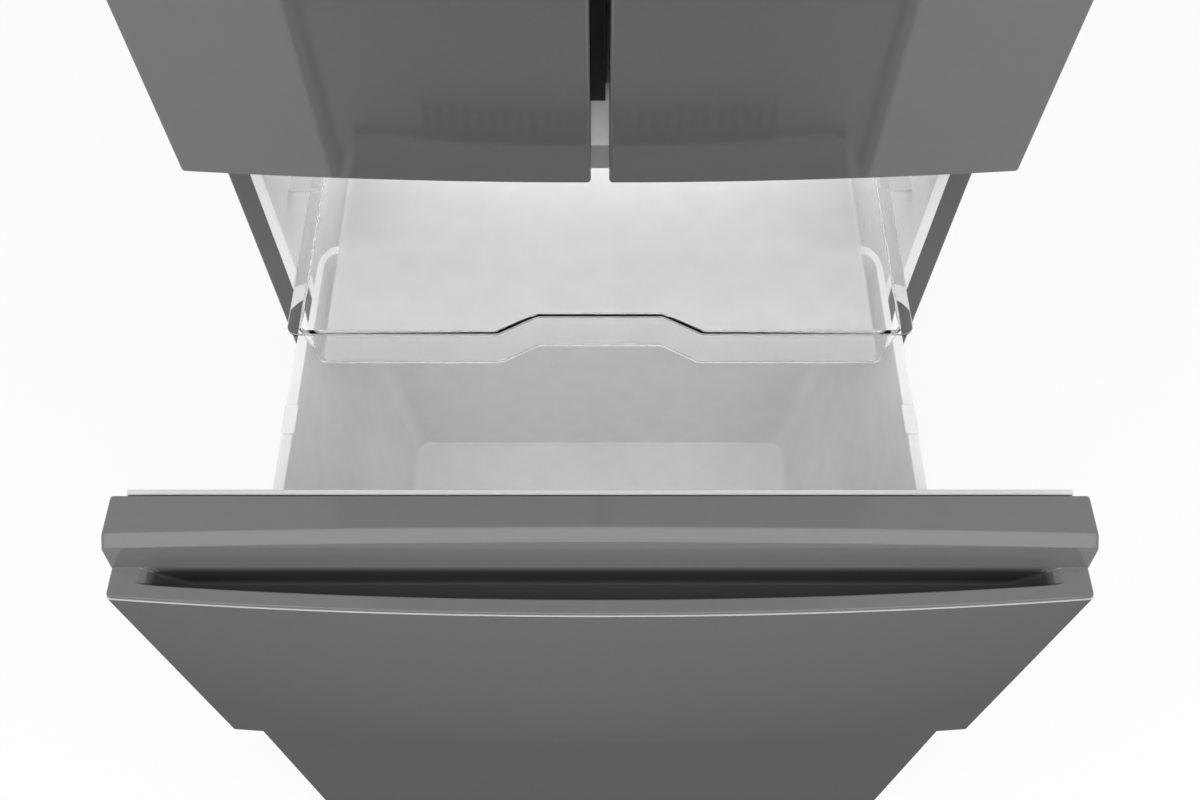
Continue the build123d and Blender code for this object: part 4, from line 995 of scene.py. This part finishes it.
def makeGasket(name, low, high, body, node):
    loops = []
    deepest = max(height for inset, height in gasketSection)
    for inset, height in gasketSection:
        i = inset * mm
        y = low.y + (high.y - low.y) * height / deepest
        corners = [(low.x + i, low.z + i), (high.x - i, low.z + i), (high.x - i, high.z - i),
                   (low.x + i, high.z - i)]
        radius = max(gasketPlan["corner"] - i, gasketPlan["leastCorner"])
        ring = roundedPath(corners, [radius] * 4, 4, closed=True)
        loops.append([(p.x, y, p.y) for p in ring])
    thing = meshObject(name, *loft(loops, wrap=True))
    finishPiece(thing, body, materials["sealRubber"], [node], gasketPlan["sharp"])
    thing.data.materials.append(materials["greyRubberAndGrooveShade"])
    span = high.y - low.y
    shadeFrom, shadeTo = gasketPlan["bellows"]
    # the groove's faces take the dark rubber: painted shade
    for face in thing.data.polygons:
        height = (face.center.y - low.y) / span * deepest
        if shadeFrom < height < shadeTo:
            face.material_index = 1


makeGasket("drawerSeal", *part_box("drawer_gasket"), "drawer", "drawer_gasket")
for side in sideSigns:
    node = f"door_gasket_{side}"
    makeGasket(f"doorSeal_{side}", *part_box(node), f"door_{side}", node)
print("stage: gaskets made")

# cabinet sheets

cabinetSheet = {"fold": 3 * mm, "hinges": 70 * mm, "behindHinges": 8 * mm, "sideGap": 0.3 * mm,
                "wingCorner": 0.4 * mm, "wingEdge": 0.3 * mm, "field": 28 * mm,
                "fieldRise": 1.5 * mm, "fieldCorner": 20 * mm, "fieldEase": 1.5 * mm}
for side, sign in sideSigns.items():
    low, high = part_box(f"side_panel_{side}")
    t, fold = sheetDepth, cabinetSheet["fold"]
    outer = [(halfWidth, backY), (halfWidth, frontY), (openingHalf, frontY)]
    inner = [(halfWidth - t, backY), (halfWidth - t, frontY + t), (openingHalf, frontY + t)]
    ring = roundedPath(outer, [0, fold, 0]) + roundedPath(inner, [0, fold - t, 0])[::-1]
    loops = [[(sign * p.x, p.y, z) for p in ring] for z in (low.z, high.z)]
    panel = meshObject(f"cabinetSide_{side}", *loft(loops))
    finishPiece(panel, "cabinet", materials["cabinetPaint"],
                [f"side_panel_{side}"], 40)


def makeTop(plan):
    low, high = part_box("top_panel")
    t, fold = sheetDepth, plan["fold"]
    top = cabinetTop
    path = [(backY, top), (frontY, top), (frontY, low.z)]
    under = [(backY, top - t), (frontY + t, top - t), (frontY + t, low.z)]
    ring = roundedPath(path, [0, fold, 0]) + roundedPath(under, [0, fold - t, 0])[::-1]
    x = openingHalf - plan["sideGap"]
    front = meshObject("topFront", *loft([[(k, p.x, p.y) for p in ring] for k in (-x, x)]))
    wings = []
    for sign in (-1, 1):
        a, b = sorted((sign * x, sign * high.x))
        wings.append(roundedBox(f"topWing{sign}", (a, frontY + t, top - t), (b, backY, top),
                                plan["wingCorner"], edge=plan["wingEdge"]))
    # raised field behind the hinge covers
    inset = plan["field"]
    y1 = frontY + plan["hinges"] + plan["behindHinges"] + inset
    loops = []
    rise, ease = plan["fieldRise"], plan["fieldEase"]
    for level, inward in ((top - t / 2, 0), (top, 0), (top + 0.35 * rise, 0.2 * ease),
                          (top + 0.8 * rise, 0.7 * ease), (top + rise, 1.6 * ease)):
        x2 = halfWidth - inset - inward
        corners = [(-x2, y1 + inward), (x2, y1 + inward), (x2, backY - inset - inward),
                   (-x2, backY - inset - inward)]
        ring = roundedPath(corners, [plan["fieldCorner"] - inward] * 4, 8, closed=True)
        loops.append([(p.x, p.y, level) for p in ring])
    field = meshObject("topField", *loft(loops))
    for thing in (front, *wings, field):
        thing.data.materials.append(materials["cabinetPaint"])
    finishPiece(joined("cabinetTop", [front, *wings, field]), "cabinet", None,
                ["top_panel"], 40)


makeTop(cabinetSheet)

rearSheet = {"recess": 0.7 * mm, "skin": 0.48 * mm, "rib": 0.6 * mm, "ribHalf": 5 * mm,
             "ribSteps": 4, "margin": 40 * mm, "ribEnd": 12 * mm,
             "levels": (0.55, 0.83, 1.11, 1.39, 1.67)}  # heights of the ribs over the floor


def makeRearSheet(plan):
    # flat sheet with low rolled ribs across it, which stop short of the sides
    low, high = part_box("back_panel")
    outer = high.y - plan["recess"]
    xs = [low.x, low.x + plan["margin"], low.x + plan["margin"] + plan["ribEnd"]]
    xs += [-x for x in reversed(xs)]
    zs, rises = [low.z], [0]
    steps = plan["ribSteps"]
    for level in plan["levels"]:
        for k in range(-steps, steps + 1):
            zs.append(level + plan["ribHalf"] * k / steps)
            rises.append(plan["rib"] * math.cos(math.pi / 2 * k / steps) ** 2)
    zs.append(high.z)
    rises.append(0)
    points, faces = [], []
    for face in (0, 1):
        for z, rise in zip(zs, rises):
            for i, x in enumerate(xs):
                proud = rise if i in (2, 3) else 0  # between the ribs' two ends
                points.append((x, outer + proud - face * plan["skin"], z))
    wide, tall = len(xs), len(zs)
    size = wide * tall
    for face in (0, 1):
        for r in range(tall - 1):
            for c in range(wide - 1):
                a = face * size + r * wide + c
                quad = (a, a + 1, a + wide + 1, a + wide)
                faces.append(quad if face == 0 else quad[::-1])
    rim = list(range(wide)) + [r * wide + wide - 1 for r in range(1, tall)]
    rim += [(tall - 1) * wide + c for c in range(wide - 2, -1, -1)]
    rim += [r * wide for r in range(tall - 2, 0, -1)]
    for i, a in enumerate(rim):
        b = rim[(i + 1) % len(rim)]
        faces.append((b, a, a + size, b + size))
    thing = meshObject("rearSheet", points, faces)
    finishPiece(thing, "cabinet", materials["backSteel"], ["back_panel"], 50)


makeRearSheet(rearSheet)
print("stage: cabinet sheets made")

# repeated pieces, set out by Geometry Nodes


def makeRepeater():
    # copies of the host's own mesh on an upright grid
    tree = bpy.data.node_groups.new("uprightGrid", "GeometryNodeTree")
    sockets = [("Geometry", "NodeSocketGeometry"), ("Columns", "NodeSocketInt"),
               ("Rows", "NodeSocketInt"), ("Width", "NodeSocketFloat"),
               ("Height", "NodeSocketFloat"), ("Centre", "NodeSocketVector"),
               ("Turn", "NodeSocketVector"), ("Material", "NodeSocketMaterial")]
    for label, kind in sockets:
        tree.interface.new_socket(label, in_out="INPUT", socket_type=kind)
    tree.interface.new_socket("Geometry", in_out="OUTPUT", socket_type="NodeSocketGeometry")
    entry, leave = tree.nodes.new("NodeGroupInput"), tree.nodes.new("NodeGroupOutput")
    grid = tree.nodes.new("GeometryNodeMeshGrid")
    place = tree.nodes.new("GeometryNodeTransform")
    copies = tree.nodes.new("GeometryNodeInstanceOnPoints")
    real = tree.nodes.new("GeometryNodeRealizeInstances")
    paint = tree.nodes.new("GeometryNodeSetMaterial")
    wire(tree, (entry, "Columns", grid, "Vertices X"), (entry, "Rows", grid, "Vertices Y"),
         (entry, "Width", grid, "Size X"), (entry, "Height", grid, "Size Y"),
         (grid, "Mesh", place, "Geometry"), (entry, "Centre", place, "Translation"),
         (entry, "Turn", place, "Rotation"), (place, "Geometry", copies, "Points"),
         (entry, "Geometry", copies, "Instance"), (copies, "Instances", real, "Geometry"),
         (real, "Geometry", paint, "Geometry"), (entry, "Material", paint, "Material"),
         (paint, "Geometry", leave, "Geometry"))
    return tree


repeater = makeRepeater()
upright = (math.pi / 2, 0, 0)


def repeated(thing, columns, rows, width, height, centre, material):
    spread = thing.modifiers.new("spread", "NODES")
    spread.node_group = repeater
    values = {"Columns": columns, "Rows": rows, "Width": width, "Height": height,
              "Centre": centre, "Turn": upright, "Material": material}
    for item in repeater.interface.items_tree:
        if item.in_out == "INPUT" and item.name in values:
            spread[item.identifier] = values[item.name]
    bakeModifiers(thing)
    return thing


def turned(name, profile, steps):
    # solid of revolution about Y from (radius, y) pairs
    turns = [2 * math.pi * k / steps for k in range(steps)]
    loops = [[(r * math.cos(t), y, r * math.sin(t)) for t in turns] for r, y in profile]
    return meshObject(name, *loft(loops))


# screws down both sides of the rear sheets: heads stay inside the depth of the cabinet
backLow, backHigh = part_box("back_panel")
rearScrews = {
    "rows": 9, "fromSide": 9 * mm, "endsFree": 60 * mm, "radius": 4.5 * mm, "height": 0.65 * mm,
    "sunk": 0.3 * mm, "washerSides": 20, "hexSides": 6,
    # shares of the head's radius and height, from its foot to its top
    "washer": ((1, 0.3), (0.94, 0.45)), "hex": ((0.62, 0.85), (0.55, 1)),
}


def screwHead(name, plan, faceY):
    # washer-faced hexagon head that stands off faceY towards +Y
    radius, height = plan["radius"], plan["height"]
    parts = []
    for kind, foot in (("washer", faceY - plan["sunk"]), ("hex", faceY)):
        profile = [(radius * plan[kind][0][0], foot)]
        profile += [(radius * wide, faceY + height * high) for wide, high in plan[kind]]
        part = turned(f"{name}_{kind}", profile, plan[f"{kind}Sides"])
        part.data.materials.append(materials["blackEnamel"])
        parts.append(part)
    return joined(name, parts)


edgeScrews = repeated(
    screwHead("rearScrews", rearScrews, backHigh.y - rearSheet["recess"]), 2, rearScrews["rows"],
    2 * (backHigh.x - rearScrews["fromSide"]), backHigh.z - backLow.z - rearScrews["endsFree"],
    (0, 0, (backHigh.z + backLow.z) / 2), materials["blackEnamel"])
finishPiece(edgeScrews, "cabinet", None)

# hooded blades behind the slots of the rear cover
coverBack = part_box("machine_cover")[1].y
louvre = {"columns": 10, "rows": 7, "pitchX": 44 * mm, "pitchZ": 18 * mm, "width": 32 * mm,
          "height": 6 * mm, "left": 60 * mm, "bottom": 75 * mm, "reach": 5 * mm, "sheet": 0.7 * mm,
          "behind": 1.2 * mm, "curl": 75, "steps": 6}


def makeLouvres(plan):
    reach, t, h, steps = plan["reach"], plan["sheet"], plan["height"], plan["steps"]
    arc = []
    for k in range(steps + 1):
        turn = math.radians(plan["curl"]) * k / steps
        hooded = math.sin(turn) / math.sin(math.radians(plan["curl"]))
        arc.append((-reach * hooded, h * (1 - k / steps) ** 0.6))
    ring = [(y, z) for y, z in arc] + [(y - t * 0.5, z - t) for y, z in reversed(arc)]
    x = plan["width"] / 2
    loops = [[(k, coverBack - plan["behind"] + y, z - h / 2) for y, z in ring] for k in (-x, x)]
    blade = meshObject("coverLouvres", *loft(loops))
    wide = plan["pitchX"] * (plan["columns"] - 1)
    tall = plan["pitchZ"] * (plan["rows"] - 1)
    centre = (-halfWidth + plan["left"] + plan["width"] / 2 + wide / 2, 0,
              plan["bottom"] + plan["height"] / 2 + tall / 2)
    repeated(blade, plan["columns"], plan["rows"], wide, tall, centre, materials["backSteel"])
    finishPiece(blade, "cabinet", None)


makeLouvres(louvre)

# comb on the front rim of the basket: upright slats between two rails, dark grey as painted shade:
# in the doors' mirror image the slats stand for shaded gaps
comb = {"half": 205 * mm, "slats": 27, "slatWidth": 7 * mm, "slatCorner": 0.8 * mm,
        "depth": 2.4 * mm, "height": 49 * mm, "fromRim": 2.2 * mm, "sunk": 0.3 * mm,
        "rail": 2.2 * mm, "railProud": 0.2 * mm, "railOver": 0.4 * mm, "railCorner": 1 * mm,
        "railEdge": 0.6 * mm}


def makeComb(plan):
    y, proud, rail = basketLow.y + plan["fromRim"], plan["railProud"], plan["rail"]
    depth, foot = plan["depth"], basketHigh.z - plan["sunk"]
    top = foot + plan["height"]
    slatHalf = plan["slatWidth"] / 2
    slats = roundedBox("combSlats", (-slatHalf, y, foot), (slatHalf, y + depth, top - rail),
                       plan["slatCorner"], steps=2)
    repeated(slats, plan["slats"], 1, 2 * plan["half"], 0, (0, 0, 0), materials["combShadeGrey"])
    x = plan["half"] + plan["slatWidth"]
    rails = []
    for z1, z2 in ((top - rail - plan["railOver"], top), (foot - proud, foot + rail)):
        bar = roundedBox(f"combRail{len(rails)}", (-x, y - proud, z1), (x, y + depth + proud, z2),
                         plan["railCorner"], axis=0, steps=3, edge=plan["railEdge"])
        bar.data.materials.append(materials["combShadeGrey"])
        rails.append(bar)
    finishPiece(joined("basketComb", [slats, *rails]), "drawer", None)


makeComb(comb)

# raised clips on the side rims of the basket
rimClip = {"y": (-276 * mm, -244 * mm), "width": 13 * mm, "height": 4 * mm, "radius": 2.5 * mm,
           "edge": 1.4 * mm, "fromEdge": 0.3 * mm, "sunk": 0.5 * mm}
for side, sign in sideSigns.items():
    outerX = basketHigh.x - rimClip["fromEdge"]
    a, b = sorted((sign * outerX, sign * (outerX - rimClip["width"])))
    y1, y2 = rimClip["y"]
    clip = roundedBox(f"rimClip_{side}", (a, y1, basketHigh.z - rimClip["sunk"]),
                      (b, y2, basketHigh.z + rimClip["height"]), rimClip["radius"],
                      steps=5, edge=rimClip["edge"])
    finishPiece(clip, "drawer", materials["whitePlastic"])

# plastic trims on the front edges of the shelves
glassLow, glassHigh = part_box("glass_shelves")
shelfTrim = {"levels": (1095 * mm, 1280 * mm, 1530 * mm), "depth": 9 * mm, "over": 2 * mm,
             "under": 3 * mm, "glass": 5 * mm, "ahead": 1.5 * mm, "fromSide": 1 * mm,
             "radius": 2.5 * mm, "edge": 1 * mm}
for number, level in enumerate(shelfTrim["levels"]):
    x1, x2 = glassLow.x + shelfTrim["fromSide"], glassHigh.x - shelfTrim["fromSide"]
    y1 = glassLow.y - shelfTrim["ahead"]
    trim = roundedBox(f"shelfTrim{number}", (x1, y1, level - shelfTrim["under"]),
                      (x2, y1 + shelfTrim["depth"],
                       level + shelfTrim["glass"] + shelfTrim["over"]),
                      shelfTrim["radius"], axis=0, steps=5, edge=shelfTrim["edge"])
    finishPiece(trim, "cabinet", materials["whitePlastic"])
print("stage: repeated pieces and trims made")

# the end

print("stage: end")
